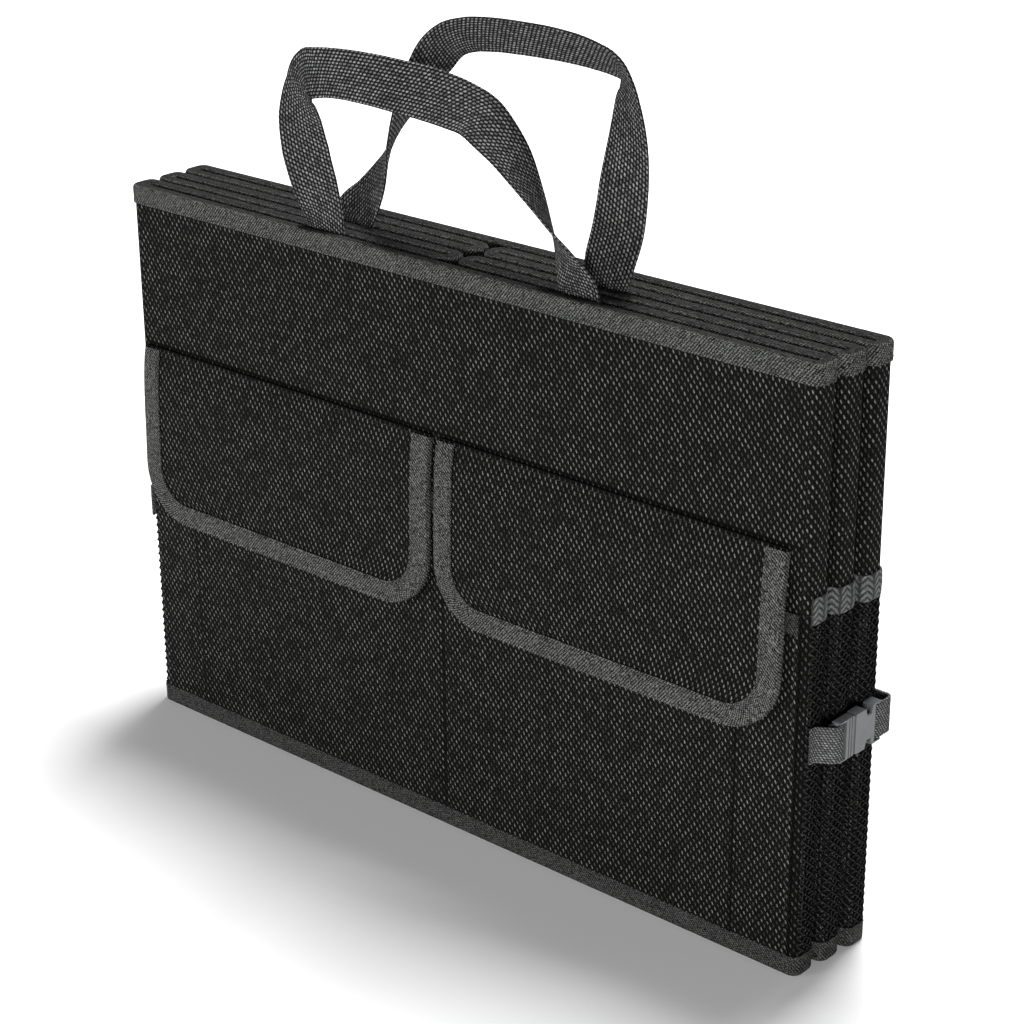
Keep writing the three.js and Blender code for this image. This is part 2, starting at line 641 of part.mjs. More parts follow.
function makeMaleBuckle(name, side) {
  const x0 = buckleInnerX(side);
  const x1 = x0 + buckleThickness;
  const mouth = buckleMouthY - clearance;
  const y0 = mouth - maleFrameLength;
  const half = buckleHeight / 2;
  const inside = half - buckleWall - buckleRun;
  const depth0 = x0 + buckleWall + buckleRun;
  const depth1 = x1 - buckleWall - buckleRun;
  let male = plate(roundedOutline(y0, mouth, half, 1.2), x0 + 0.5, x1 - 0.5, side);
  male = male.subtract(plate(polygon([
    [y0 + barLength, -strapWidth / 2 - clearance], [y0 + barLength + slotLength, -strapWidth / 2 - clearance],
    [y0 + barLength + slotLength, strapWidth / 2 + clearance], [y0 + barLength, strapWidth / 2 + clearance],
  ]), x0 - 1, x1 + 1, side));
  const spare = (buckleThickness - barDepth) / 2;
  for (const [a, b] of [[x0 - 1, x0 + spare], [x1 - spare, x1 + 1]]) {
    male = male.subtract(plate(polygon([
      [y0 - 1, -strapWidth / 2 - clearance], [y0 + barLength + 0.1, -strapWidth / 2 - clearance],
      [y0 + barLength + 0.1, strapWidth / 2 + clearance], [y0 - 1, strapWidth / 2 + clearance],
    ]), a, b, side));
  }
  // Grip ribs on the base
  for (const y of [mouth - 4.6, mouth - 2.6]) {
    male = male.subtract(plate(polygon([[y, -half - 1], [y + 0.8, -half - 1], [y + 0.8, half + 1], [y, half + 1]]), x1 - 1, x1 + 1, side));
  }
  // Two spring arms with hooked tips, and a guide tongue between them
  for (const up of [-1, 1]) {
    male = male.add(plate(polygon([
      [mouth - 1, up * (inside - 3.4)], [mouth - 1, up * (inside - 1)], [mouth + 5.5, up * (inside - 1.6)],
      [mouth + 7.6, up * inside], [mouth + armLength - 1.5, up * inside], [mouth + armLength, up * (inside - 2.4)],
      [mouth + armLength - 2, up * (inside - 3.2)],
    ]), depth0, depth1, side));
  }
  male = male.add(plate(polygon([
    [mouth - 1, -1.6], [mouth + guideLength - 1, -1.6], [mouth + guideLength, -0.8],
    [mouth + guideLength, 0.8], [mouth + guideLength - 1, 1.6], [mouth - 1, 1.6],
  ]), depth0, depth1, side));
  addPart(`${name}_buckle_male`, toGeometry(male), plastic);
}

// Webbing in plan view, from its sewn end to the bar that it loops round
function strapBand(track, side) {
  const placed = side > 0 ? track : track.map(({ x, y, r }) => ({ x: -x, y, r }));
  const half = strapThickness / 2;
  return sweepTrack(placed, bandSection(-half, half, strapZ - strapWidth / 2, strapZ + strapWidth / 2), false);
}

function makeStraps(name, side) {
  const inner = buckleInnerX(side);
  const centre = inner + buckleThickness / 2;
  const wrap = barDepth / 2 + clearance + strapThickness / 2;
  const bend = wrap / 2;
  const wallX = halfWidth + clearance + meshThickness + clearance + strapThickness / 2;
  const frontBarY = buckleMouthY - clearance - maleFrameLength;
  const turnY = frontBarY + barLength + clearance + strapThickness / 2;
  const front = [
    { x: wallX, y: layerThickness * 0.3, r: 0 },
    { x: wallX, y: frontBarY - 7.5, r: 3 },
    { x: centre + wrap, y: frontBarY - 2.2, r: 3 },
    { x: centre + wrap, y: turnY, r: bend },
    { x: centre - wrap, y: turnY, r: bend },
    { x: centre - wrap, y: frontBarY - 1.6, r: 0 },
  ];
  addPart(`${name}_strap_front`, strapBand(front, side), strapTape);

  const rearBarY = buckleMouthY + femaleLength;
  const turnRear = rearBarY - barLength - clearance - strapThickness / 2;
  const backY = backFaceY + clearance + strapThickness / 2;
  const looseY = backY + rearStrapSlack;
  const backSeamX = seamX + (side > 0 ? 2 * packetSlip : 0);
  const rear = [
    { x: centre - wrap, y: rearBarY + 1.2, r: 0 },
    { x: centre - wrap, y: turnRear, r: bend },
    { x: centre + wrap, y: turnRear, r: bend },
    { x: centre + wrap, y: looseY, r: 4 },
    { x: backSeamX - 1, y: looseY, r: 4 },
    { x: backSeamX - 8, y: backY, r: 4 },
    { x: backSeamX - rearStrapTail, y: backY, r: 0 },
  ];
  addPart(`${name}_strap_rear`, strapBand(rear, side), strapTape);
}

// Carrying handle. Each stop gives the middle of the webbing (share of the reach, distance out from
// the slit, share of the rise) and the direction of its width. One leg turns half round.
const handleStops = [
  [-1.0, 0, 0.1, -1, 0, -0.05], [-1.05, -0.4, 0.17, -0.99, -0.04, -0.14], [-1.11, -2, 0.3, -0.92, -0.36, -0.1],
  [-1.13, -3.5, 0.47, -0.88, -0.46, 0], [-1.145, -5, 0.66, -0.97, -0.2, -0.05], [-1.12, -6.5, 0.84, -0.93, 0.02, 0.36],
  [-1.0, -7.5, 0.965, -0.62, 0.12, 0.77], [-0.79, -7.6, 1.0, -0.1, 0.18, 0.97], [-0.48, -7.6, 1.005, 0, 0.22, 0.97],
  [-0.14, -7.6, 1.0, 0.1, 0.2, 0.97], [0.12, -7.4, 0.985, 0.34, 0.14, 0.93], [0.32, -6.6, 0.93, 0.64, 0.2, 0.74],
  [0.445, -5.6, 0.84, 0.82, 0.42, 0.4], [0.55, -4.6, 0.71, 0.5, 0.86, 0.1], [0.65, -3.2, 0.56, -0.08, 0.98, -0.15],
  [0.735, -1.8, 0.42, -0.44, 0.87, -0.22], [0.81, -0.8, 0.325, -0.66, 0.71, -0.24], [0.9, -0.2, 0.22, -0.86, 0.46, -0.2],
  [0.972, 0, 0.125, -0.98, 0.14, -0.1],
];

function makeHandle(name, slitY, sewnY, rise, turn) {
  const rim = panelHeight;
  const shoulder = panelHeight - topBindingHeight;
  const stops = handleStops.map(([reach, out, up, wx, wy, wz]) => ({
    middle: new THREE.Vector3(reach * handleReach, out, rim + up * rise),
    width: new THREE.Vector3(wx, wy, wz),
  }));
  const root = (x) => [
    { middle: new THREE.Vector3(x, 0, rim + 1), width: new THREE.Vector3(-1, 0, 0) },
    { middle: new THREE.Vector3(x, 0, shoulder), width: new THREE.Vector3(-1, 0, 0) },
    { middle: new THREE.Vector3(x, (sewnY - slitY) * turn, shoulder - 12), width: new THREE.Vector3(-1, 0, 0) },
    { middle: new THREE.Vector3(x, (sewnY - slitY) * turn, shoulder - handleTuck), width: new THREE.Vector3(-1, 0, 0) },
  ];
  const all = [...root(-handleReach).reverse(), ...stops, ...root(handleReach)];
  const middles = all.map(({ middle }) => new THREE.Vector3(middle.x * turn, slitY + middle.y * turn, middle.z));
  const widths = all.map(({ width }) => new THREE.Vector3(width.x * turn, width.y * turn, width.z));
  addPart(name, ribbon(middles, widths, handleWidth, handleThickness, 2 * (all.length - 1)), webbing);
}

function makeHandles() {
  const half = handleThickness / 2;
  const frontSlit = layerY[0] + skirtOuter + clearance + half + 0.2;
  const frontSewn = layerY[0] + slitFace + half;
  makeHandle('front_handle', frontSlit, frontSewn, frontHandleRise, 1);
  const rearSlit = layerY[2] + skirtOuter + clearance + half + 0.4;
  const dividerFront = (layerY[2] + layerY[3]) / 2 - dividerThickness / 2 + clearance;
  const rearSewn = dividerFront - clearance - half;
  makeHandle('rear_handle', rearSlit, rearSewn, rearHandleRise, -1);
}

makeFlatPanel('front', 0);
makeFlatPanel('back', 5);
makeBindings();
makeFrontPocket();
makeInside();
makeHandles();
for (const [name, side] of [['left', -1], ['right', 1]]) {
  makeSideWall(name, side);
  makeFlap(name, side);
  makeMeshPocket(name, side);
  makeFemaleBuckle(name, side);
  makeMaleBuckle(name, side);
  makeStraps(name, side);
}

// The origin is the middle of the footprint, on the surface that the organizer stands on
const bounds = new THREE.Box3().setFromObject(organizer);
const middle = bounds.getCenter(new THREE.Vector3());
organizer.position.set(-middle.x, -middle.y, -bounds.min.z);

export default organizer;
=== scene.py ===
import logging
import math
from dataclasses import dataclass, field
from enum import Enum
from typing import Callable, ClassVar, Sequence

import bmesh
import bpy
from mathutils import Matrix, Vector, noise


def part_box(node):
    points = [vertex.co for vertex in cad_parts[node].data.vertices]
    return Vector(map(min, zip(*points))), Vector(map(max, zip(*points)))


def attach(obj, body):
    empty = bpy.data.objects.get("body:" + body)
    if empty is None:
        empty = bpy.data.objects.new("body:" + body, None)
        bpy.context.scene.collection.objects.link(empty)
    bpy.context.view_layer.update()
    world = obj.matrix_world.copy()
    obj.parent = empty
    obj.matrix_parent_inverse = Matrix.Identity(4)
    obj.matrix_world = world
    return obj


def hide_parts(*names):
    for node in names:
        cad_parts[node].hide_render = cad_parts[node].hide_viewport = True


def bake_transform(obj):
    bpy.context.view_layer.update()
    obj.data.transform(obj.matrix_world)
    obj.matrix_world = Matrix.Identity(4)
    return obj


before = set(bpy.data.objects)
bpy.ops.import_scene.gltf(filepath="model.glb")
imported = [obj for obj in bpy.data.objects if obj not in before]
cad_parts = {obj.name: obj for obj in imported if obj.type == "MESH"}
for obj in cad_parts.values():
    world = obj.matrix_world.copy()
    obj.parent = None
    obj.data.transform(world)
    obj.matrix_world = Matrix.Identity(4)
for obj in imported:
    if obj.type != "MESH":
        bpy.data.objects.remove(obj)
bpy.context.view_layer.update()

LOG = logging.getLogger("organizer")
MM = 0.001
UV_NAME = "cloth"
BASE = "organizer"

Pair = tuple[float, float]
Colour = tuple[float, float, float]
Track = list[tuple[float, float, float]]


class Side(Enum):
    """The two ends of the organizer, with the sign of their X."""

    LEFT = -1
    RIGHT = 1

    @property
    def word(self) -> str:
        """The side's name in piece and body names."""
        return self.name.lower()


# Sizes, in millimetres

@dataclass(frozen=True)
class Sizes:
    """The organizer's own sizes, the same as those of its source."""

    panel_width: float = 443.0
    panel_height: float = 305.0
    packet_pitch: float = 18.5
    layer_spacing: float = 9.6
    packet_slip: float = 2.0
    clearance: float = 0.3
    layer: float = 4.6
    end_bend: float = 2.0
    apex_gap: float = 2.4
    tape: float = 0.7
    top_binding: float = 10.0
    bottom_binding: float = 10.5
    binding_round: float = 1.6
    pocket_mouth: float = 186.0
    mouth_tape: float = 9.0
    pocket_cloth: float = 1.0
    pleat_x: float = 184.0
    crease: float = 217.0
    flap_length: float = 98.0
    flap_side: float = 8.5
    flap_gap: float = 4.4
    flap_corner: float = 31.0
    flap_cloth: float = 1.4
    flap_bulge: float = 3.6
    flap_roll: float = 14.0
    flap_binding: float = 11.5
    mesh: float = 0.8
    band: float = 0.9
    band_low: float = 182.0
    band_high: float = 195.0
    strap_width: float = 18.5
    strap: float = 1.2
    strap_z: float = 122.3
    handle_width: float = 25.0
    handle: float = 1.4

    @property
    def layer_y(self) -> list[float]:
        """Middle of each of the six cloth layers, from the front to the back."""
        first = self.layer / 2
        return [first + (k // 2) * self.packet_pitch + (k % 2) * self.layer_spacing for k in range(6)]

    @property
    def half_width(self) -> float:
        """Half of the panel's width."""
        return self.panel_width / 2

    @property
    def skirt(self) -> float:
        """Distance from a layer's middle to the inner face of its binding."""
        return self.layer / 2 + self.clearance

    @property
    def skirt_outer(self) -> float:
        """Distance from a layer's middle to the outer face of its binding."""
        return self.skirt + self.tape

    @property
    def seam_x(self) -> float:
        """Where a flat panel ends and the side wall begins."""
        return self.half_width - self.layer / 2 - self.end_bend

    @property
    def apex_x(self) -> float:
        """Middle line of the inner folds."""
        return self.apex_gap / 2 + self.skirt_outer

    @property
    def apex_bend(self) -> float:
        """Bend radius of the inner folds."""
        return (self.packet_pitch - self.layer_spacing) / 2 - 0.15

    def back_slip(self, side: int) -> float:
        """How far the back panel's end has slipped outwards on this side."""
        return 2 * self.packet_slip if side > 0 else 0.0

    def packet_end(self, packet: int, side: int) -> float:
        """Middle line of a packet's outer fold."""
        slip = packet * self.packet_slip if side > 0 else 0.0
        return side * (self.half_width - self.layer / 2 + slip)


SIZES = Sizes()
_front = [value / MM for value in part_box("front_panel")[0]]
SHIFT = Vector((_front[0] + SIZES.seam_x - SIZES.clearance / 2, _front[1], 0.0))


def in_frame(point: Vector) -> Vector:
    """A drawing point in millimetres, as a point of the row frame in metres."""
    return (point + SHIFT) * MM


def new_object(name: str, data: bpy.types.ID) -> bpy.types.Object:
    """A new object in the scene, at the origin."""
    made = bpy.data.objects.new(name, data)
    bpy.context.scene.collection.objects.link(made)
    return made


# Paths in plan view

def offset_track(track: Track, offset: float, closed: bool, steps: int = 8) -> list[Vector]:
    """Offset a path of bent corners to the right-hand side of travel.

    Args:
        track: Corners as (x, y, bend radius of the middle line).
        offset: Distance to the right of the middle line, in millimetres.
        closed: True if the last corner joins the first.
        steps: Number of parts of each bend.

    Returns:
        The points of the offset path, the same number for every offset.
    """
    count = len(track)
    points: list[Vector] = []
    for i, (x, y, radius) in enumerate(track):
        here = Vector((x, y))
        before = Vector(track[i - 1][:2])
        after = Vector(track[(i + 1) % count][:2])
        is_end = not closed and i in (0, count - 1)
        if is_end:
            ahead = (after - here) if i == 0 else (here - before)
            ahead.normalize()
            points.append(here + Vector((ahead.y, -ahead.x)) * offset)
            continue
        u = (here - before).normalized()
        v = (after - here).normalized()
        corner = here + Vector((u.y + v.y, -u.x - v.x)) * (offset / (1 + u.dot(v)))
        turn = math.atan2(u.x * v.y - u.y * v.x, u.dot(v))
        sign = math.copysign(1, turn)
        bend = max(radius + sign * offset, SIZES.clearance)
        start = corner - u * (bend * math.tan(abs(turn) / 2))
        centre = start + Vector((-u.y, u.x)) * (sign * bend)
        spoke = start - centre
        for k in range(steps + 1):
            angle = turn * k / steps
            turned = Vector((
                spoke.x * math.cos(angle) - spoke.y * math.sin(angle),
                spoke.x * math.sin(angle) + spoke.y * math.cos(angle),
            ))
            points.append(centre + turned)
    return points


def wall_track(side: int, sizes: Sizes = SIZES) -> Track:
    """The folds of one side wall, from seam to seam, with the outside on the right of travel."""
    layer_y = sizes.layer_y
    track: Track = [(side * (sizes.seam_x + sizes.clearance / 2), layer_y[0], 0.0)]
    for packet in range(3):
        end = sizes.packet_end(packet, side)
        track.append((end, layer_y[2 * packet], sizes.end_bend))
        track.append((end, layer_y[2 * packet + 1], sizes.end_bend))
        if packet < 2:
            track.append((side * sizes.apex_x, layer_y[2 * packet + 1], sizes.apex_bend))
            track.append((side * sizes.apex_x, layer_y[2 * packet + 2], sizes.apex_bend))
    track.append((side * (sizes.seam_x + sizes.back_slip(side) + sizes.clearance / 2), layer_y[5], 0.0))
    return track if side > 0 else track[::-1]


def rim_track() -> Track:
    """The whole rim, once round the organizer."""
    return wall_track(1)[1:-1] + wall_track(-1)[1:-1]


# Meshes from patches

@dataclass
class Patches:
    """Grids of points in drawing millimetres that join into one closed mesh."""

    points: list[Vector] = field(default_factory=list)
    faces: list[list[int]] = field(default_factory=list)
    uvs: list[list[Pair]] = field(default_factory=list)

    def grid(self, rows: Sequence[Sequence[Vector]], us: Sequence[float], vs: Sequence[float]) -> None:
        """Add a grid of quads.

        Args:
            rows: Rows of points, one row for each value of us.
            us: First map coordinate of each row, in millimetres.
            vs: Second map coordinate of each point of a row, in millimetres.
        """
        first = len(self.points)
        width = len(vs)
        for row in rows:
            self.points += row
        for i in range(len(us) - 1):
            for j in range(width - 1):
                a = first + i * width + j
                self.faces.append([a, a + 1, a + width + 1, a + width])
                self.uvs.append([(us[i], vs[j]), (us[i], vs[j + 1]), (us[i + 1], vs[j + 1]), (us[i + 1], vs[j])])

    def cap(self, ring: Sequence[Vector], flat: Sequence[Pair]) -> None:
        """Close an end with one face."""
        first = len(self.points)
        self.points += ring
        self.faces.append(list(range(first, first + len(ring))))
        self.uvs.append(list(flat))

    def piece(self, name: str, finish: "Finish", sharp: float = 40.0) -> bpy.types.Object:
        """Make the object, with its doubles merged, its faces outwards and its map stored.

        Args:
            name: The piece's name.
            finish: The finish that dresses it.
            sharp: Edges sharper than this, in degrees, stay sharp.

        Returns:
            The new object, at the origin.
        """
        mesh = bpy.data.meshes.new(name)
        mesh.from_pydata([in_frame(p) for p in self.points], [], self.faces)
        layer = mesh.uv_layers.new(name=UV_NAME)
        layer.data.foreach_set("uv", [value for loop in self.uvs for pair in loop for value in pair])
        solid = bmesh.new()
        solid.from_mesh(mesh)
        bmesh.ops.remove_doubles(solid, verts=solid.verts, dist=2e-6)
        bmesh.ops.dissolve_degenerate(solid, dist=1e-7, edges=solid.edges)
        bmesh.ops.recalc_face_normals(solid, faces=solid.faces)
        solid.to_mesh(mesh)
        solid.free()
        mesh.shade_smooth()
        mesh.set_sharp_from_angle(angle=math.radians(sharp))
        made = new_object(name, mesh)
        finish.dress(made)
        return made


def lengths(points: Sequence[Vector]) -> list[float]:
    """Running length along a line of points."""
    out = [0.0]
    for here, after in zip(points, points[1:]):
        out.append(out[-1] + (after - here).length)
    return out


def tube(rings: list[list[Vector]], closed: bool) -> Patches:
    """Join rings of points into a tube, closed on itself or capped.

    Args:
        rings: The rings, each with the same number of points.
        closed: True if the last ring joins the first.

    Returns:
        The patches, with the length on u and the way round on v.
    """
    patches = Patches()
    rows = [ring + [ring[0]] for ring in rings]
    vs = lengths(rows[0])
    if closed:
        rows.append(rows[0])
    us = [0.0]
    for last, row in zip(rows, rows[1:]):
        us.append(us[-1] + max((q - p).length for p, q in zip(last, row)))
    patches.grid(rows, us, vs)
    if not closed:
        for ring in (rings[0], rings[-1]):
            patches.cap(ring, [(v, u) for u, v in zip(vs, [0.0] * len(ring))])
    return patches


def sweep(
    track: Track, section: Sequence[Pair], closed: bool, reach: float = 60.0, cut: tuple[int, int] = (0, 0),
) -> Patches:
    """Sweep a section of (offset, height) points along a track, less some rings at either end."""
    lines = [offset_track(track, offset, closed) for offset, _height in section]
    middle = offset_track(track, 0.0, closed)
    count = len(middle)
    rings: list[list[Vector]] = []
    for i in range(count if closed else count - 1):
        j = (i + 1) % count
        parts = max(1, round((middle[j] - middle[i]).length / reach))
        for k in range(parts):
            share = k / parts
            rings.append([
                Vector((*line[i].lerp(line[j], share), height)) for line, (_o, height) in zip(lines, section)
            ])
    if not closed:
        rings.append([Vector((*line[-1], height)) for line, (_o, height) in zip(lines, section)])
    return tube(rings[cut[0]:len(rings) - cut[1]], closed)


def sheet_patches(
    place: Callable[[float, float, float], Vector], us: Sequence[float], vs: Sequence[float], lifts: Sequence[float],
) -> Patches:
    """A closed thin sheet over a curved face.

    Args:
        place: Gives the point for (u, v, lift), lift being the height over the middle face.
        us: Stations along u, in millimetres.
        vs: Stations along v, in millimetres.
        lifts: Heights of the points over an edge, from the inner face to the outer one.

    Returns:
        The patches of both faces and the four edges.
    """
    patches = Patches()
    for lift in (lifts[-1], lifts[0]):
        patches.grid([[place(u, v, lift) for v in vs] for u in us], us, vs)
    for u in (us[0], us[-1]):
        patches.grid([[place(u, v, lift) for v in vs] for lift in lifts], [u + lift for lift in lifts], vs)
    for v in (vs[0], vs[-1]):
        patches.grid([[place(u, v, lift) for u in us] for lift in lifts], [v + lift for lift in lifts], us)
    return patches


def stations(start: float, end: float, reach: float) -> list[float]:
    """Evenly spaced values from start to end, about reach apart."""
    parts = max(1, round(abs(end - start) / reach))
    return [start + (end - start) * k / parts for k in range(parts + 1)]


# Shader graphs

def _operator(operation: str, swapped: bool = False) -> Callable[["Number", "Number | float"], "Number"]:
    """Make a method of Number that adds one Math node with two values.

    Args:
        operation: The Math node's operation.
        swapped: True for a reflected form, whose own value comes second.

    Returns:
        The method.
    """
    def method(self: "Number", other: "Number | float") -> "Number":
        """Combine the two values."""
        return self.math(operation, other, self) if swapped else self.math(operation, self, other)

    return method


class Number:
    """A number socket of a material, which takes part in Python expressions."""

    def __init__(self, graph: "Graph", socket: bpy.types.NodeSocket) -> None:
        """Keep the graph and the socket."""
        self.graph = graph
        self.socket = socket

    def math(self, operation: str, *values: "Number | float") -> "Number":
        """Add a Math node on these values."""
        made = self.graph.node("ShaderNodeMath", {"operation": operation}, dict(enumerate(values)))
        return Number(self.graph, made.outputs[0])

    __add__ = __radd__ = _operator("ADD")
    __sub__ = _operator("SUBTRACT")
    __rsub__ = _operator("SUBTRACT", swapped=True)
    __mul__ = __rmul__ = _operator("MULTIPLY")
    __truediv__ = _operator("DIVIDE")
    __rtruediv__ = _operator("DIVIDE", swapped=True)
    at_least = _operator("MAXIMUM")
    at_most = _operator("MINIMUM")

    def floor(self) -> "Number":
        """The whole part below."""
        return self.math("FLOOR", self)

    def size(self) -> "Number":
        """The absolute value."""
        return self.math("ABSOLUTE", self)

    def sine(self) -> "Number":
        """The sine."""
        return self.math("SINE", self)

    def within(self, low: float = 0.0, high: float = 1.0) -> "Number":
        """The value held between two limits."""
        return self.at_least(low).at_most(high)


class Nodes:
    """A node tree, filled by plain method calls."""

    def __init__(self, tree: bpy.types.NodeTree) -> None:
        """Start with an empty tree."""
        self.tree = tree
        tree.nodes.clear()

    def node(self, kind: str, settings: dict | None = None, sockets: dict | None = None) -> bpy.types.Node:
        """Add any node.

        Args:
            kind: The node's type name.
            settings: Properties that are set first.
            sockets: Values, sockets or numbers for its inputs, by name or index.

        Returns:
            The node.
        """
        made = self.tree.nodes.new(kind)
        for key, value in (settings or {}).items():
            setattr(made, key, value)
        for key, value in (sockets or {}).items():
            self.put(made.inputs[key], value)
        return made

    def put(self, target: bpy.types.NodeSocket, value: object) -> None:
        """Link a socket or a number to an input, or set its value."""
        if isinstance(value, Number):
            value = value.socket
        if isinstance(value, bpy.types.NodeSocket):
            self.tree.links.new(value, target)
        else:
            target.default_value = value


class Graph(Nodes):
    """One material's nodes."""

    def __init__(self, name: str) -> None:
        """Start a material with a Principled shader."""
        self.material = bpy.data.materials.new(name)
        self.material.use_nodes = True
        super().__init__(self.material.node_tree)
        self.shader = self.node("ShaderNodeBsdfPrincipled")
        self.node("ShaderNodeOutputMaterial", sockets={"Surface": self.shader.outputs[0]})

    def dress(self, **values: object) -> None:
        """Put values or links on the shader's sockets, named with underscores for blanks."""
        for key, value in values.items():
            self.put(self.shader.inputs[key.replace("_", " ")], value)

    def map_uv(self) -> tuple[Number, Number]:
        """The piece's own map, in millimetres."""
        uv = self.node("ShaderNodeUVMap", {"uv_map": UV_NAME})
        parts = self.node("ShaderNodeSeparateXYZ", sockets={0: uv.outputs[0]})
        return Number(self, parts.outputs[0]), Number(self, parts.outputs[1])

    def cloudy(self, scale: float, detail: float = 2.0) -> Number:
        """Soft noise on Object coordinates, from 0 to 1."""
        place = self.node("ShaderNodeTexCoord")
        made = self.node("ShaderNodeTexNoise", sockets={
            "Vector": place.outputs["Object"], "Scale": scale, "Detail": detail,
        })
        return Number(self, made.outputs[0])

    def scatter(self, x: Number, y: Number) -> Number:
        """A random number for each whole cell."""
        joined = self.node("ShaderNodeCombineXYZ", sockets={0: x, 1: y})
        made = self.node("ShaderNodeTexWhiteNoise", {"noise_dimensions": "2D"}, {"Vector": joined.outputs[0]})
        return Number(self, made.outputs[0])

    def blend(self, share: Number, low: Colour, high: Colour) -> bpy.types.NodeSocket:
        """Mix two colours by a number."""
        made = self.node("ShaderNodeMix", {"data_type": "RGBA"}, {0: share, 6: (*low, 1.0), 7: (*high, 1.0)})
        return made.outputs[2]

    def relief(self, height: Number, depth: float, strength: float) -> None:
        """Bump the surface by a height from 0 to 1, depth in metres."""
        made = self.node("ShaderNodeBump", sockets={"Strength": strength, "Distance": depth, "Height": height})
        self.dress(Normal=made.outputs[0])


class Finish:
    """A finish, which makes its material once and hands it to every piece."""

    name: str
    slot: str
    dark: Colour
    light: Colour
    depth: float
    roughness: float
    gloss: float = 0.5
    strength: float = 1.0
    made: ClassVar[dict[str, bpy.types.Material]] = {}

    def draw(self, graph: Graph) -> None:
        """Add the finish's nodes."""
        raise NotImplementedError

    def coat(self, graph: Graph, tone: Number, height: Number) -> None:
        """Set the shader's colour by a tone from 0 to 1, its roughness, gloss and relief."""
        graph.dress(
            Base_Color=graph.blend(tone, self.dark, self.light), Roughness=self.roughness,
            Specular_IOR_Level=self.gloss,
        )
        graph.relief(height, self.depth, self.strength)

    def material(self) -> bpy.types.Material:
        """The material, made on first use."""
        if self.name not in self.made:
            graph = Graph(self.name)
            self.draw(graph)
            self.made[self.name] = graph.material
        return self.made[self.name]

    def dress(self, piece: bpy.types.Object) -> None:
        """Give a piece this material alone."""
        piece.data.materials.clear()
        piece.data.materials.append(self.material())


@dataclass(frozen=True)
class Woven(Finish):
    """Plain woven cloth or webbing: staggered thread crowns with light glints on some.

    Pitches, the width (crease) of the painted shade lines along creases, pleats and seams (columns and rows) and the
    height below which shade is painted are in millimetres. Lean tilts each crown.
    """

    name: str = "wall_cloth"
    slot: str = "wall_cloth"
    dark: Colour = (0.0012, 0.0013, 0.0011)
    light: Colour = (0.215, 0.219, 0.208)
    across: float = 3.4
    along: float = 2.3
    stagger: float = 0.5
    crown_wide: float = 0.165
    crown_tall: float = 0.5
    lean: float = 0.2
    glint: float = 0.15
    frizz: float = 0.7
    columns: tuple[float, ...] = ()
    rows: tuple[float, ...] = ()
    crease: float = 1.5
    shaded_below: float = 0.0
    depth: float = 0.0004
    roughness: float = 0.85
    gloss: float = 0.06
    fuzz_scale: ClassVar[float] = 2200.0
    wear_scale: ClassVar[float] = 60.0
    crease_shade_tone: ClassVar[float] = 0.06
    shade_tone: ClassVar[float] = 0.45

    def draw(self, graph: Graph) -> None:
        """Draw the crowns, their glints and their relief."""
        u, v = graph.map_uv()
        tall = v / self.along
        row = tall.floor()
        wide = u / self.across + row * self.stagger
        column = wide.floor()
        down = tall - row - 0.5
        side = wide - column - 0.5 + down * self.lean
        shape = 1 - (side / self.crown_wide) * (side / self.crown_wide)
        shape = shape - (down / self.crown_tall) * (down / self.crown_tall)
        crown = shape.within()
        luck = graph.scatter(column, row)
        bright = crown * (luck * (1 - self.glint) + self.glint)
        fuzz = graph.cloudy(self.fuzz_scale, 1.0) - 0.5
        bright = bright * (fuzz * (5 * self.frizz) + 1) + (fuzz * self.frizz).within() * 0.4
        bright = bright * (graph.cloudy(self.wear_scale) * 0.5 + 0.75)
        # Painted shade: a dark line along each crease, pleat or seam listed in columns and rows.
        for place, marks in ((u, self.columns), (v, self.rows)):
            for mark in marks:
                bright = bright * ((place - mark).size() / self.crease).within(self.crease_shade_tone)
        # Painted shade below the shaded height, inside the net pocket.
        if self.shaded_below > 0:
            bright = bright * ((v - self.shaded_below) * 0.5).within(self.shade_tone)
        self.coat(graph, bright.within(), crown)


@dataclass(frozen=True)
class Ribbed(Finish):
    """Fine ribbed tape, with slanted threads, darkened between two widths in millimetres: painted shade over the rim
    tape's top round.
    """

    name: str = "binding_tape"
    slot: str = "binding_tape"
    dark: Colour = (0.006, 0.0062, 0.0058)
    light: Colour = (0.172, 0.176, 0.17)
    rib: float = 1.7
    thread: float = 1.1
    slant: float = 0.8
    depth: float = 0.0003
    roughness: float = 0.85
    gloss: float = 0.08
    dim: float = 0.0
    dim_from: float = 9.4
    dim_to: float = 15.5
    weft_share: ClassVar[float] = 0.35
    fuzz_scale: ClassVar[float] = 1300.0
    wear_scale: ClassVar[float] = 90.0

    def draw(self, graph: Graph) -> None:
        """Draw the ribs and the threads across them."""
        u, v = graph.map_uv()
        lane = (u + v * self.slant) / self.rib
        rung = (v - u * self.slant * 0.4) / self.thread
        ridge = (lane * math.pi).sine().size()
        weft = (rung * math.pi).sine().size()
        height = ridge * (1 - self.weft_share) + weft * self.weft_share
        luck = graph.scatter(lane.floor(), rung.floor())
        worn = graph.cloudy(self.wear_scale, 3.0)
        fuzz = graph.cloudy(self.fuzz_scale, 1.0) - 0.5
        tone = (height * 1.2 + luck * 0.35 + worn * 0.1 + fuzz * 2.4 - 0.72).within()
        # Darker between dim_from and dim_to; on the rim tape this is painted shade over its top round.
        if self.dim > 0:
            dimmed_band = (v - self.dim_from).within() * (self.dim_to - v).within()
            tone = tone * (1 - dimmed_band * self.dim)
        self.coat(graph, tone, height)


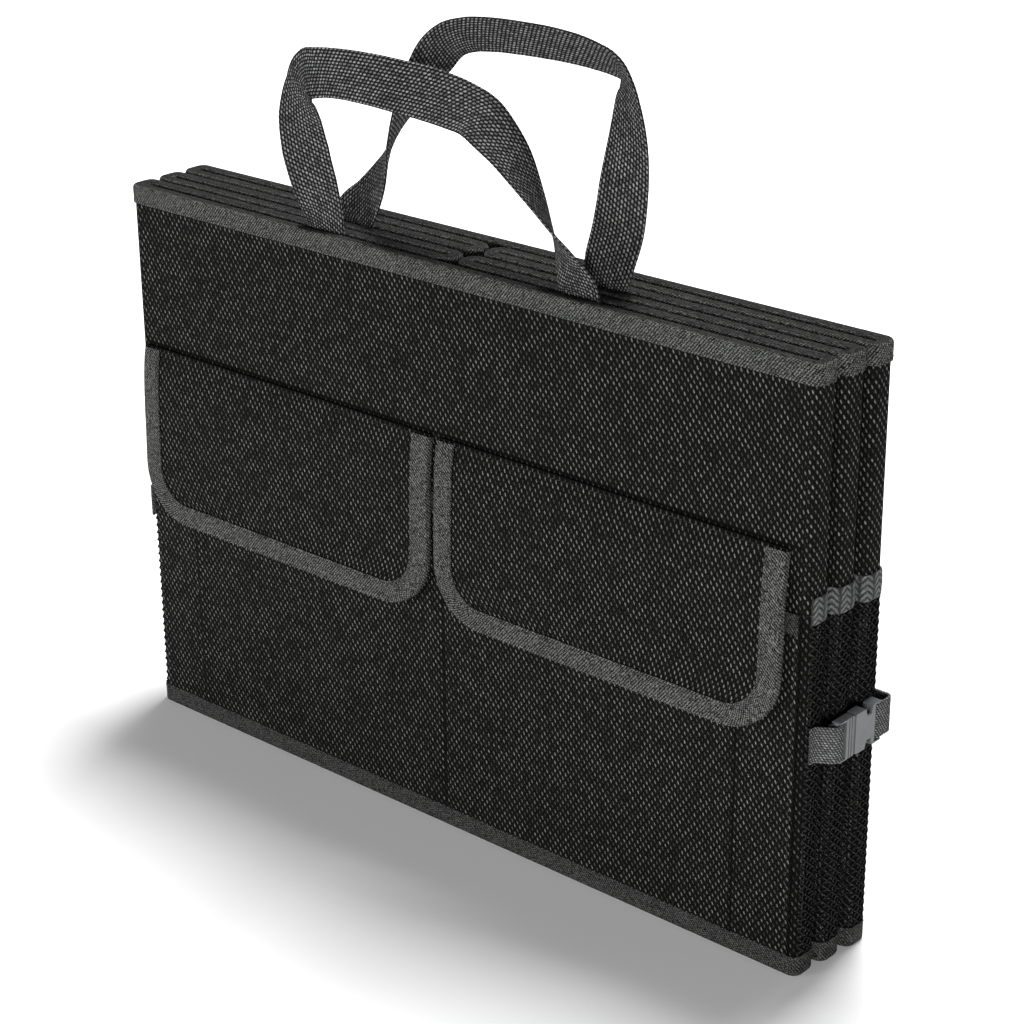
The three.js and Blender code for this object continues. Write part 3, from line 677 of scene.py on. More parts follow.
@dataclass(frozen=True)
class Knitted(Finish):
    """Elastic with chevron ribs."""

    name: str = "elastic"
    slot: str = "elastic"
    dark: Colour = (0.008, 0.008, 0.0085)
    light: Colour = (0.15, 0.152, 0.155)
    column: float = 8.0
    rib: float = 3.2
    depth: float = 0.0008
    roughness: float = 0.85
    slope: ClassVar[float] = 2.2
    fuzz_scale: ClassVar[float] = 1500.0

    def draw(self, graph: Graph) -> None:
        """Draw the chevrons."""
        u, v = graph.map_uv()
        wide = u / self.column
        cell = wide - wide.floor() - 0.5
        wave = ((v / self.rib + cell.size() * self.slope) * math.pi).sine().size()
        edge = (1 - cell.size() * 2).within(0.0, 0.35) * 2.8
        height = wave * edge
        tone = (height * 0.9 + (graph.cloudy(self.fuzz_scale, 1.0) - 0.5) * 1.6 - 0.1).within()
        self.coat(graph, tone, height)


@dataclass(frozen=True)
class Moulded(Finish):
    """Moulded plastic with a faint grain."""

    name: str = "buckle_plastic"
    slot: str = "buckle_plastic"
    dark: Colour = (0.088, 0.09, 0.094)
    light: Colour = (0.125, 0.128, 0.132)
    grain: float = 900.0
    depth: float = 0.00003
    strength: float = 0.6
    roughness: float = 0.42
    wear_scale: ClassVar[float] = 140.0
    polish_scale: ClassVar[float] = 300.0
    polish: ClassVar[float] = 0.16

    def draw(self, graph: Graph) -> None:
        """Draw the grain and a faint cloud of wear."""
        self.coat(graph, graph.cloudy(self.wear_scale, 3.0), graph.cloudy(self.grain))
        graph.dress(Roughness=graph.cloudy(self.polish_scale) * self.polish + self.roughness - self.polish / 2)


@dataclass(frozen=True)
class Pile(Finish):
    """Hook or loop pile."""

    name: str = "closure_tape"
    slot: str = "closure_tape"
    dark: Colour = (0.004, 0.004, 0.004)
    light: Colour = (0.03, 0.03, 0.031)
    depth: float = 0.0005
    roughness: float = 0.97
    scale: ClassVar[float] = 1600.0

    def draw(self, graph: Graph) -> None:
        """Draw the pile's fuzz."""
        tone = graph.cloudy(self.scale, 4.0)
        self.coat(graph, tone, tone)


WALL_CLOTH = Woven()
# Painted shade: a dark line on the front panel just above the flaps' crease.
FRONT_CLOTH = Woven(name="front_cloth", rows=(SIZES.crease + 1.0,), crease=1.8)
# Painted shade on the side walls below the elastic band, inside the net pocket.
SIDE_CLOTH = Woven(name="side_cloth", shaded_below=SIZES.band_low)
# Painted shade: dark lines along the pleats and the middle seam.
POCKET_CLOTH = Woven(name="pocket_cloth", columns=(-SIZES.pleat_x, 0.0, SIZES.pleat_x), crease=1.3)
# Painted shade: a dark band along the flap's top, at its crease.
FLAP_CLOTH = Woven(name="flap_cloth", rows=(0.0,), crease=2.6)
LINING = Woven(
    name="lining_cloth", slot="lining_cloth", dark=(0.008, 0.008, 0.009), light=(0.03, 0.03, 0.032),
    across=0.8, along=0.5, depth=0.0001,
)
BINDING = Ribbed()
# Painted shade over the rim tape's top round, where it folds over the rim.
RIM_TAPE = Ribbed(name="rim_tape", dim=0.66)
MOUTH_TAPE = Ribbed(name="mouth_tape", dim=0.6, dim_from=-1.0, dim_to=60.0)
FOOT_TAPE = Ribbed(name="foot_tape", dim=0.4, dim_from=-1.0, dim_to=30.0)
HANDLE = Woven(
    name="handle_webbing", slot="handle_webbing", dark=(0.005, 0.0052, 0.005), light=(0.33, 0.335, 0.33),
    across=2.3, along=1.7, crown_wide=0.42, crown_tall=0.42, lean=0.35, glint=0.3, depth=0.0005,
)
STRAP = Woven(
    name="strap_webbing", slot="strap_webbing", dark=(0.02, 0.021, 0.021), light=(0.27, 0.275, 0.27),
    across=1.7, along=1.25, crown_wide=0.46, crown_tall=0.5, lean=0.5, glint=0.4, depth=0.0003,
)
ELASTIC = Knitted()
PLASTIC = Moulded()
BOARD = Moulded(name="board", slot="board", dark=(0.03, 0.03, 0.031), light=(0.045, 0.045, 0.046), roughness=0.6)
PILE = Pile()
NET = Ribbed(
    name="net", slot="net", dark=(0.001, 0.001, 0.001), light=(0.06, 0.061, 0.06), rib=0.9, thread=0.6,
    depth=0.0001, roughness=0.8,
)
THREAD = Ribbed(
    name="stitch_thread", slot="binding_tape", dark=(0.02, 0.02, 0.021), light=(0.09, 0.092, 0.094), rib=0.4,
    thread=0.3, depth=0.00005,
)


# Geometry Nodes for what repeats

class NodeMaker(Nodes):
    """A Geometry Nodes tree."""

    def __init__(self, name: str, *inputs: str) -> None:
        """Start a tree with a geometry input and sizes of these names."""
        super().__init__(bpy.data.node_groups.new(name, "GeometryNodeTree"))
        face = self.tree.interface
        face.new_socket("Geometry", in_out="INPUT", socket_type="NodeSocketGeometry")
        for key in inputs:
            face.new_socket(key, in_out="INPUT", socket_type="NodeSocketFloat")
        face.new_socket("Material", in_out="INPUT", socket_type="NodeSocketMaterial")
        face.new_socket("Geometry", in_out="OUTPUT", socket_type="NodeSocketGeometry")
        self.start = self.node("NodeGroupInput")
        self.end = self.node("NodeGroupOutput")

    def finish(self, geometry: bpy.types.NodeSocket) -> bpy.types.NodeTree:
        """Realize the instances, set the material and close the tree."""
        real = self.node("GeometryNodeRealizeInstances", sockets={0: geometry})
        dressed = self.node("GeometryNodeSetMaterial", sockets={
            "Geometry": real.outputs[0], "Material": self.start.outputs["Material"],
        })
        self.put(self.end.inputs[0], dressed.outputs[0])
        return self.tree


def stitch_tree() -> bpy.types.NodeTree:
    """Stitches: a short fat thread at even steps along each line, turned to follow it."""
    maker = NodeMaker("stitches", "Pitch", "Length", "Radius")
    start = maker.start.outputs
    line = maker.node("GeometryNodeMeshToCurve", sockets={0: start["Geometry"]})
    even = maker.node("GeometryNodeResampleCurve", {"mode": "LENGTH"}, {
        "Curve": line.outputs[0], "Length": start["Pitch"],
    })
    bead = maker.node("GeometryNodeMeshIcoSphere", sockets={"Radius": 1.0, "Subdivisions": 1})
    size = maker.node("ShaderNodeCombineXYZ", sockets={0: start["Radius"], 1: start["Radius"], 2: start["Length"]})
    way = maker.node("GeometryNodeInputTangent")
    turn = maker.node("FunctionNodeAlignRotationToVector", {"axis": "Z"}, {"Vector": way.outputs[0]})
    placed = maker.node("GeometryNodeInstanceOnPoints", sockets={
        "Points": even.outputs[0], "Instance": bead.outputs[0], "Rotation": turn.outputs[0], "Scale": size.outputs[0],
    })
    return maker.finish(placed.outputs[0])


def net_tree() -> bpy.types.NodeTree:
    """A net: each edge of the lattice becomes a round thread."""
    maker = NodeMaker("net", "Radius")
    start = maker.start.outputs
    line = maker.node("GeometryNodeMeshToCurve", sockets={0: start["Geometry"]})
    ring = maker.node("GeometryNodeCurvePrimitiveCircle", sockets={"Resolution": 3, "Radius": start["Radius"]})
    thick = maker.node("GeometryNodeCurveToMesh", sockets={
        "Curve": line.outputs[0], "Profile Curve": ring.outputs["Curve"], "Fill Caps": True,
    })
    return maker.finish(thick.outputs[0])


@dataclass
class Repeater:
    """Runs a Geometry Nodes tree on lines and keeps the result as a plain mesh."""

    tree: bpy.types.NodeTree
    finish: Finish

    def run(self, name: str, lines: Sequence[Sequence[Vector]], **sizes: float) -> bpy.types.Object:
        """Make one piece.

        Args:
            name: The piece's name.
            lines: Lines of drawing points, in millimetres.
            sizes: Values of the tree's named inputs, in millimetres.

        Returns:
            The plain mesh object.
        """
        points = [in_frame(p) for line in lines for p in line]
        edges, first = [], 0
        for line in lines:
            edges += [(first + k, first + k + 1) for k in range(len(line) - 1)]
            first += len(line)
        mesh = bpy.data.meshes.new(name)
        mesh.from_pydata(points, edges, [])
        carrier = new_object(name, mesh)
        modifier = carrier.modifiers.new("repeat", "NODES")
        modifier.node_group = self.tree
        names = {item.name: item.identifier for item in self.tree.interface.items_tree if item.in_out == "INPUT"}
        for key, value in sizes.items():
            modifier[names[key]] = value * MM
        modifier[names["Material"]] = self.finish.material()
        bpy.context.view_layer.update()
        evaluated = carrier.evaluated_get(bpy.context.evaluated_depsgraph_get())
        made = bpy.data.meshes.new_from_object(evaluated)
        carrier.modifiers.remove(modifier)
        carrier.data = made
        made.name = name
        made.shade_smooth()
        if UV_NAME not in made.uv_layers:
            made.uv_layers.new(name=UV_NAME)
        return carrier


STITCHES = Repeater(stitch_tree(), THREAD)
NETTING = Repeater(net_tree(), NET)


def settle(piece: bpy.types.Object, body: str, finish: Finish, *nodes: str) -> bpy.types.Object:
    """Ride a piece on its body, and let it stand for its CAD nodes.

    Args:
        piece: The finished piece.
        body: The CAD body that carries it.
        finish: Not used.
        nodes: The CAD nodes that it replaces.

    Returns:
        The same piece.
    """
    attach(piece, body)
    if nodes:
        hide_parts(*nodes)
    LOG.info("%s: %d faces, rides on %s", piece.name, len(piece.data.polygons), body)
    return piece


def ripple(x: float, z: float, seed: float, amount: float, reach: float = 40.0) -> float:
    """A soft unevenness of loose cloth, in millimetres."""
    return amount * noise.noise(Vector((x / reach, z / reach, seed)))


# Sub-assemblies

@dataclass
class Walls:
    """The two flat panels and the two folded side walls."""

    sizes: Sizes = SIZES
    low: float = 1.0
    high: float = 304.0
    reach: float = 9.0
    uneven: float = 0.22

    def panel(self, name: str, layer: int, outward: int) -> bpy.types.Object:
        """A flat panel whose outer cloth is a little uneven over its board."""
        s = self.sizes
        left, right = -s.seam_x, s.seam_x + (s.back_slip(1) if layer == 5 else 0.0)
        middle = s.layer_y[layer]

        def place(x: float, z: float, lift: float) -> Vector:
            uneven = ripple(x, z, layer, self.uneven) if lift > 0 else 0.0
            return Vector((x, middle + outward * (lift - abs(uneven)), z))

        half = s.layer / 2
        xs, zs = stations(left, right, self.reach), stations(self.low, self.high, self.reach)
        patches = sheet_patches(place, xs, zs, (-half, 0.0, half))
        finish = FRONT_CLOTH if layer == 0 else WALL_CLOTH
        return settle(patches.piece(name + "_cloth", finish), BASE, finish, name)

    def side_wall(self, side: Side) -> bpy.types.Object:
        """One side wall, folded like an accordion."""
        s = self.sizes
        half = s.layer / 2
        zs = stations(self.low, self.high, 20)
        section = [(half, z) for z in zs] + [(-half, z) for z in reversed(zs)]
        patches = sweep(wall_track(side.value), section, False, 30)
        name = f"{side.word}_side_wall"
        return settle(patches.piece(name + "_cloth", SIDE_CLOTH), BASE, SIDE_CLOTH, name)

    def build(self) -> None:
        """Build the four walls."""
        self.panel("front_panel", 0, -1)
        self.panel("back_panel", 5, 1)
        for side in Side:
            self.side_wall(side)


@dataclass
class Bindings:
    """The tapes over the rim and round the foot, and the stitch rows that hold them."""

    sizes: Sizes = SIZES
    pitch: float = 2.9
    inset: float = 1.5
    reach: float = 22.0
    shoulder: float = 0.55
    back_parts: int = 8

    def top(self) -> bpy.types.Object:
        """The folded tape over the rim, with a full round back."""
        s = self.sizes
        low = s.panel_height - s.top_binding
        round_z = s.panel_height - s.binding_round - 0.6
        outer = [(-s.skirt_outer, low), (-s.skirt_outer, (low + round_z) / 2)]
        for k in range(self.back_parts + 1):
            angle = math.pi * (1 - k / self.back_parts)
            away = math.copysign(abs(math.cos(angle)) ** self.shoulder, math.cos(angle))
            outer.append((s.skirt_outer * away, round_z + (s.panel_height - round_z) * math.sin(angle)))
        outer += [(s.skirt_outer, (low + round_z) / 2), (s.skirt_outer, low)]
        top = s.panel_height - s.tape
        inner = [(s.skirt, low), (s.skirt, top - 1.0), (s.skirt - 0.8, top), (0.8 - s.skirt, top)]
        inner += [(-s.skirt, top - 1.0), (-s.skirt, low)]
        patches = sweep(rim_track(), outer + inner, True, self.reach)
        return settle(patches.piece("top_binding_tape", RIM_TAPE), BASE, RIM_TAPE, "top_binding")

    def bottom(self) -> bpy.types.Object:
        """The tape round the foot, open on the inside."""
        s = self.sizes
        inner = -s.layer / 2
        high = s.bottom_binding
        section = [
            (inner, 0.0), (s.skirt_outer - 1.1, 0.0), (s.skirt_outer - 0.35, 0.25), (s.skirt_outer, 1.1),
            (s.skirt_outer, high * 0.5), (s.skirt_outer, high), (s.skirt, high), (s.skirt, s.tape), (inner, s.tape),
        ]
        patches = sweep(rim_track(), section, True, self.reach)
        return settle(patches.piece("bottom_binding_tape", FOOT_TAPE), BASE, FOOT_TAPE, "bottom_binding")

    def stitches(self) -> None:
        """A stitch row near the free edge of each tape."""
        s = self.sizes
        rows = {
            "top_binding_stitches": s.panel_height - s.top_binding + self.inset,
            "bottom_binding_stitches": s.bottom_binding - self.inset,
        }
        for name, z in rows.items():
            line = [Vector((p.x, p.y, z)) for p in offset_track(rim_track(), s.skirt_outer + 0.02, True)]
            made = STITCHES.run(name, [line + [line[0]]], Pitch=self.pitch, Length=1.15, Radius=0.26)
            settle(made, BASE, BINDING)

    def build(self) -> None:
        """Build the tapes and their stitches."""
        self.top()
        self.bottom()
        self.stitches()


@dataclass
class FrontPocket:
    """The wide pocket of the front panel, its pleats, its seam and its bound mouth."""

    sizes: Sizes = SIZES
    seam: float = 2.4
    pleat: float = 5.0
    looseness: float = 0.45
    seam_depth: float = 0.75
    pleat_height: float = 0.65
    groove_depth: float = 0.4
    groove_place: float = 0.55
    groove_width: float = 0.12

    def _relief(self, x: float, z: float) -> float:
        """How far the cloth stands off the panel at this place."""
        s = self.sizes
        held = min(1.0, (z - 11.0) / 30.0) * min(1.0, (s.seam_x - abs(x)) / 12.0)
        loose = self.looseness * held * (0.5 + noise.noise(Vector((x / 46, z / 70, 3.0))))
        seam = -self.seam_depth * math.exp(-((x / self.seam) ** 2))
        pleat = 0.0
        for middle in (-s.pleat_x, s.pleat_x):
            away = (abs(x) - abs(middle)) / self.pleat
            if x * middle > 0 and z < s.pocket_mouth - s.mouth_tape:
                pleat += self.pleat_height * math.exp(-(away ** 2)) * (1.0 if away < 0 else 0.6)
                pleat -= self.groove_depth * math.exp(-(((away - self.groove_place) / self.groove_width) ** 2))
        return loose + seam + pleat

    def cloth(self) -> bpy.types.Object:
        """The pocket's cloth, sewn down in the middle and round three sides."""
        s = self.sizes
        edge = s.seam_x - s.clearance
        low = s.bottom_binding + s.clearance
        front = -s.clearance - s.pocket_cloth / 2
        fine = [x for m in (-s.pleat_x, 0.0, s.pleat_x) for x in stations(m - 8, m + 8, 0.8)]
        xs = sorted(set(stations(-edge, edge, 7) + fine))

        def place(x: float, z: float, lift: float) -> Vector:
            out = max(self._relief(x, z), -0.3) if lift > 0 else min(self._relief(x, z), 0.0) * 0.2
            return Vector((x, front - lift - out, z))

        half = s.pocket_cloth / 2
        patches = sheet_patches(place, xs, stations(low, s.pocket_mouth, 8), (-half, 0.0, half))
        made = patches.piece("front_pocket_cloth", POCKET_CLOTH)
        return settle(made, BASE, POCKET_CLOTH, "front_pocket_panel")

    def mouth(self) -> bpy.types.Object:
        """The tape folded over the pocket's mouth."""
        s = self.sizes
        edge = s.seam_x - s.clearance
        inner = -s.clearance
        front = inner - s.pocket_cloth - s.clearance
        lip = s.pocket_mouth + s.clearance
        low = s.pocket_mouth - s.mouth_tape
        section = [
            (front - s.tape, low), (front - s.tape, lip + s.tape * 0.5), (front - s.tape * 0.6, lip + s.tape),
            (inner, lip + s.tape), (inner, lip), (front, lip), (front, low),
        ]
        rings = [[Vector((x, y, z)) for y, z in section] for x in stations(-edge, edge, 20)]
        made = tube(rings, False).piece("pocket_mouth_tape", MOUTH_TAPE)
        return settle(made, BASE, MOUTH_TAPE, "pocket_mouth_binding")

    def seams(self) -> None:
        """The middle seam's stitches and the row round the edge."""
        s = self.sizes
        y = -s.clearance - s.pocket_cloth
        low = s.bottom_binding + 1.5
        middle = [Vector((0.0, y + 0.62, z)) for z in stations(low, s.pocket_mouth - s.mouth_tape, 6)]
        sides = [
            [Vector((x, y - 0.02, z)) for z in stations(low, s.pocket_mouth - 1, 6)]
            for x in (-s.seam_x + 2.2, s.seam_x - 2.2)
        ]
        made = STITCHES.run("front_pocket_stitches", [middle, *sides], Pitch=3.0, Length=1.2, Radius=0.27)
        settle(made, BASE, BINDING)

    def build(self) -> None:
        """Build the pocket."""
        self.cloth()
        self.mouth()
        self.seams()


@dataclass
class Sided:
    """A sub-assembly that stands once on each side."""

    side: Side
    sizes: Sizes = SIZES

    def named(self, part: str) -> str:
        """A name with the side's word before it."""
        return f"{self.side.word}_{part}"


@dataclass
class Flap(Sided):
    """One flap of the front pocket: cloth, binding, hook tape, and the loop tape behind it."""

    tape_width: float = 60.0
    tape_height: float = 18.0
    tape_z: float = 145.0
    tape_depth: float = 0.9
    flare: float = 2.6
    shift: float = -2.6
    crown: float = 0.5
    uneven: float = 0.35
    edge: float = 0.35

    def ends(self) -> Pair:
        """The flap's left and right edge."""
        s = self.sizes
        near, far = s.flap_gap / 2, s.half_width - s.flap_side
        start, stop = (near, far) if self.side is Side.RIGHT else (-far, -near)
        return start + self.shift, stop + self.shift

    def line(self, drop: float) -> Pair:
        """The flap's middle face at a distance below the crease, as (y, z)."""
        s = self.sizes
        lean = s.flap_bulge * (1 - math.exp(-max(drop, 0.0) / s.flap_roll))
        lean += self.flare * (max(drop, 0.0) / s.flap_length) ** 3
        return -s.clearance - s.flap_cloth / 2 - lean, s.crease - drop

    def at(self, x: float, drop: float, lift: float) -> Vector:
        """A point on the flap, lift in front of its middle face."""
        y0, z0 = self.line(drop)
        y1, z1 = self.line(drop + 0.5)
        along = Vector((y1 - y0, z1 - z0)).normalized()
        return Vector((x, y0 + along.y * lift, z0 - along.x * lift))

    @property
    def shorter(self) -> float:
        """How much higher the hem hangs than the CAD flap's."""
        return 4.0 if self.side is Side.RIGHT else 1.5

    @property
    def body(self) -> str:
        """The CAD body that the flap swings with."""
        return self.named("flap_body")

    def outline(self, inset: float) -> list[tuple[Pair, Pair]]:
        """Points and inward directions down one side, along the lower edge and up the other."""
        s = self.sizes
        x0, x1 = self.ends()
        r, bottom = s.flap_corner, s.flap_length - self.shorter
        stops: list[tuple[Pair, Pair]] = []
        for drop in stations(1.4, bottom - r, 5):
            stops.append(((x0 + inset, drop), (1.0, 0.0)))
        for k in range(1, 13):
            a = k * math.pi / 24
            inward = (math.cos(a), -math.sin(a))
            base = (x0 + r * (1 - math.cos(a)), bottom - r * (1 - math.sin(a)))
            stops.append(((base[0] + inward[0] * inset, base[1] + inward[1] * inset), inward))
        across = stations(x0 + r, x1 - r, 12)[1:-1]
        other = [((x0 + x1 - p[0], p[1]), (-d[0], d[1])) for p, d in reversed(stops)]
        return stops + [((x, bottom - inset), (0.0, -1.0)) for x in across] + other

    def cloth(self) -> bpy.types.Object:
        """The flap's cloth, a little crowned between its bound edges."""
        s = self.sizes
        x0, x1 = self.ends()
        room = s.clearance + s.tape
        r, bottom = s.flap_corner - room, s.flap_length - self.shorter - room
        width = x1 - x0
        drops = stations(0.0, bottom - r, 5) + [bottom - r + r * math.sin(k * math.pi / 16) for k in range(1, 9)]

        def place(drop: float, across: float, lift: float) -> Vector:
            rise = max(drop - (bottom - r), 0.0)
            pull = r - math.sqrt(max(r * r - rise * rise, 0.0))
            left, right = x0 + room + pull, x1 - room - pull
            x = left + (right - left) * across / width
            if lift > 0:
                inside = min(drop / 20, (bottom - drop) / 25, (x - left) / 25, (right - x) / 25, 1.0)
                lift += (self.crown + ripple(x, drop, self.side.value * 5.0, self.uneven)) * max(inside, 0.0)
            return self.at(x, drop, lift)

        half = s.flap_cloth / 2
        patches = sheet_patches(place, drops, stations(0.0, width, width / 30), (-half, half))
        patches.uvs = [[(v, -u) for u, v in loop] for loop in patches.uvs]
        name = self.named("flap")
        made = patches.piece(name + "_cloth", FLAP_CLOTH)
        return settle(made, self.body, FLAP_CLOTH, name)

    def binding(self) -> bpy.types.Object:
        """The tape folded round the flap's free edges."""
        s = self.sizes
        hold = s.flap_cloth / 2 + s.clearance
        face = hold + s.tape
        wide = s.flap_binding
        front = face + self.edge
        section = [
            (self.edge, -face), (wide, -face), (wide, -hold), (s.tape, -hold), (s.tape, hold), (wide, hold + 0.1),
            (wide, front - 0.1), (wide * 0.5, front), (1.2, front), (self.edge, front - 0.3),
            (0.0, hold * 0.5), (0.0, -hold),
        ]
        rings = []
        for (x, drop), (dx, dd) in self.outline(0.0):
            rings.append([self.at(x + dx * inset, drop + dd * inset, lift) for inset, lift in section])
        name = self.named("flap_binding")
        made = tube(rings, False).piece(name + "_tape", BINDING)
        return settle(made, self.body, BINDING, name)

    def stitches(self) -> None:
        """The stitch row along the inner edge of the binding, and the row at the crease."""
        s = self.sizes
        lift = s.flap_cloth / 2 + s.clearance + s.tape + 0.33
        line = [self.at(x, drop, lift) for (x, drop), _inward in self.outline(s.flap_binding - 1.5)]
        x0, x1 = self.ends()
        crease = [self.at(x, 2.2, s.flap_cloth / 2) for x in stations(x0 + 2, x1 - 2, 12)]
        name = self.named("flap_stitches")
        settle(STITCHES.run(name, [line, crease], Pitch=2.9, Length=1.15, Radius=0.25), self.body, BINDING)

    def closures(self) -> bpy.types.Object:
        """Hook tape under the flap, which follows its hang, and loop tape on the pocket."""
        s = self.sizes
        PILE.dress(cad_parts[self.named("pocket_loop_tape")])
        middle = sum(self.ends()) / 2
        xs = stations(middle - self.tape_width / 2, middle + self.tape_width / 2, 12)
        top = s.crease - self.tape_z - self.tape_height / 2
        drops = stations(top, top + self.tape_height - 1.5, 8)
        lifts = (-s.flap_cloth / 2 - self.tape_depth, -s.flap_cloth / 2 + 0.5)
        patches = sheet_patches(lambda drop, x, lift: self.at(x, drop, lift), drops, xs, lifts)
        name = self.named("flap_hook_tape")
        return settle(patches.piece(name + "_pile", PILE), self.body, PILE, name)

    def build(self) -> None:
        """Build the flap."""
        self.cloth()
        self.binding()
        self.stitches()
        self.closures()


@dataclass
class MeshPocket(Sided):
    """The net pocket of a side wall and the elastic band along its mouth."""

    cell_wide: float = 4.8
    cell_tall: float = 4.4
    thread: float = 0.62
    free: int = 6

    def net(self) -> bpy.types.Object:
        """The net, a lattice of round threads that follows the folds."""
        s = self.sizes
        track = wall_track(self.side.value)
        offset = s.skirt + 0.1
        line = offset_track(track, offset, False)
        line = line[self.free:] if self.side is Side.RIGHT else line[:-self.free]
        run = lengths(line)
        columns = max(2, round(run[-1] / self.cell_wide)) * 2
        low, high = s.bottom_binding + 0.9, s.band_low - 0.5
        rows = max(2, round((high - low) / self.cell_tall)) * 2
        spots: list[Vector] = []
        k = 0
        for i in range(columns + 1):
            reach = run[-1] * i / columns
            while k < len(run) - 2 and run[k + 1] < reach:
                k += 1
            share = (reach - run[k]) / max(run[k + 1] - run[k], 1e-6)
            spots.append(line[k].lerp(line[k + 1], min(share, 1.0)))
        threads: list[list[Vector]] = []
        for shift in (0, 1):
            for row in range(rows // 2):
                zs = [low + (high - low) * (2 * row + k) / rows for k in (2 * shift, 1)]
                threads.append([Vector((*p, zs[i % 2])) for i, p in enumerate(spots)])
        name = self.named("mesh_pocket")
        return settle(NETTING.run(name + "_net", threads, Radius=self.thread), BASE, NET, name)

    def band(self) -> bpy.types.Object:
        """The elastic band, ribbed and a little full between its edges."""
        s = self.sizes
        low, high = s.band_low, s.band_high
        inner, outer = s.skirt, s.skirt + s.band
        section = [
            (inner, low), (outer - 0.3, low), (outer, low + 0.8), (outer + 0.2, (low + high) / 2),
            (outer, high - 0.8), (outer - 0.3, high), (inner, high),
        ]
        name = self.named("elastic_band")
        cut = (self.free, 0) if self.side is Side.RIGHT else (0, self.free)
        made = sweep(wall_track(self.side.value), section, False, 20, cut).piece(name + "_knit", ELASTIC)
        return settle(made, BASE, ELASTIC, name)

    def build(self) -> None:
        """Build the pocket."""
        self.net()
        self.band()


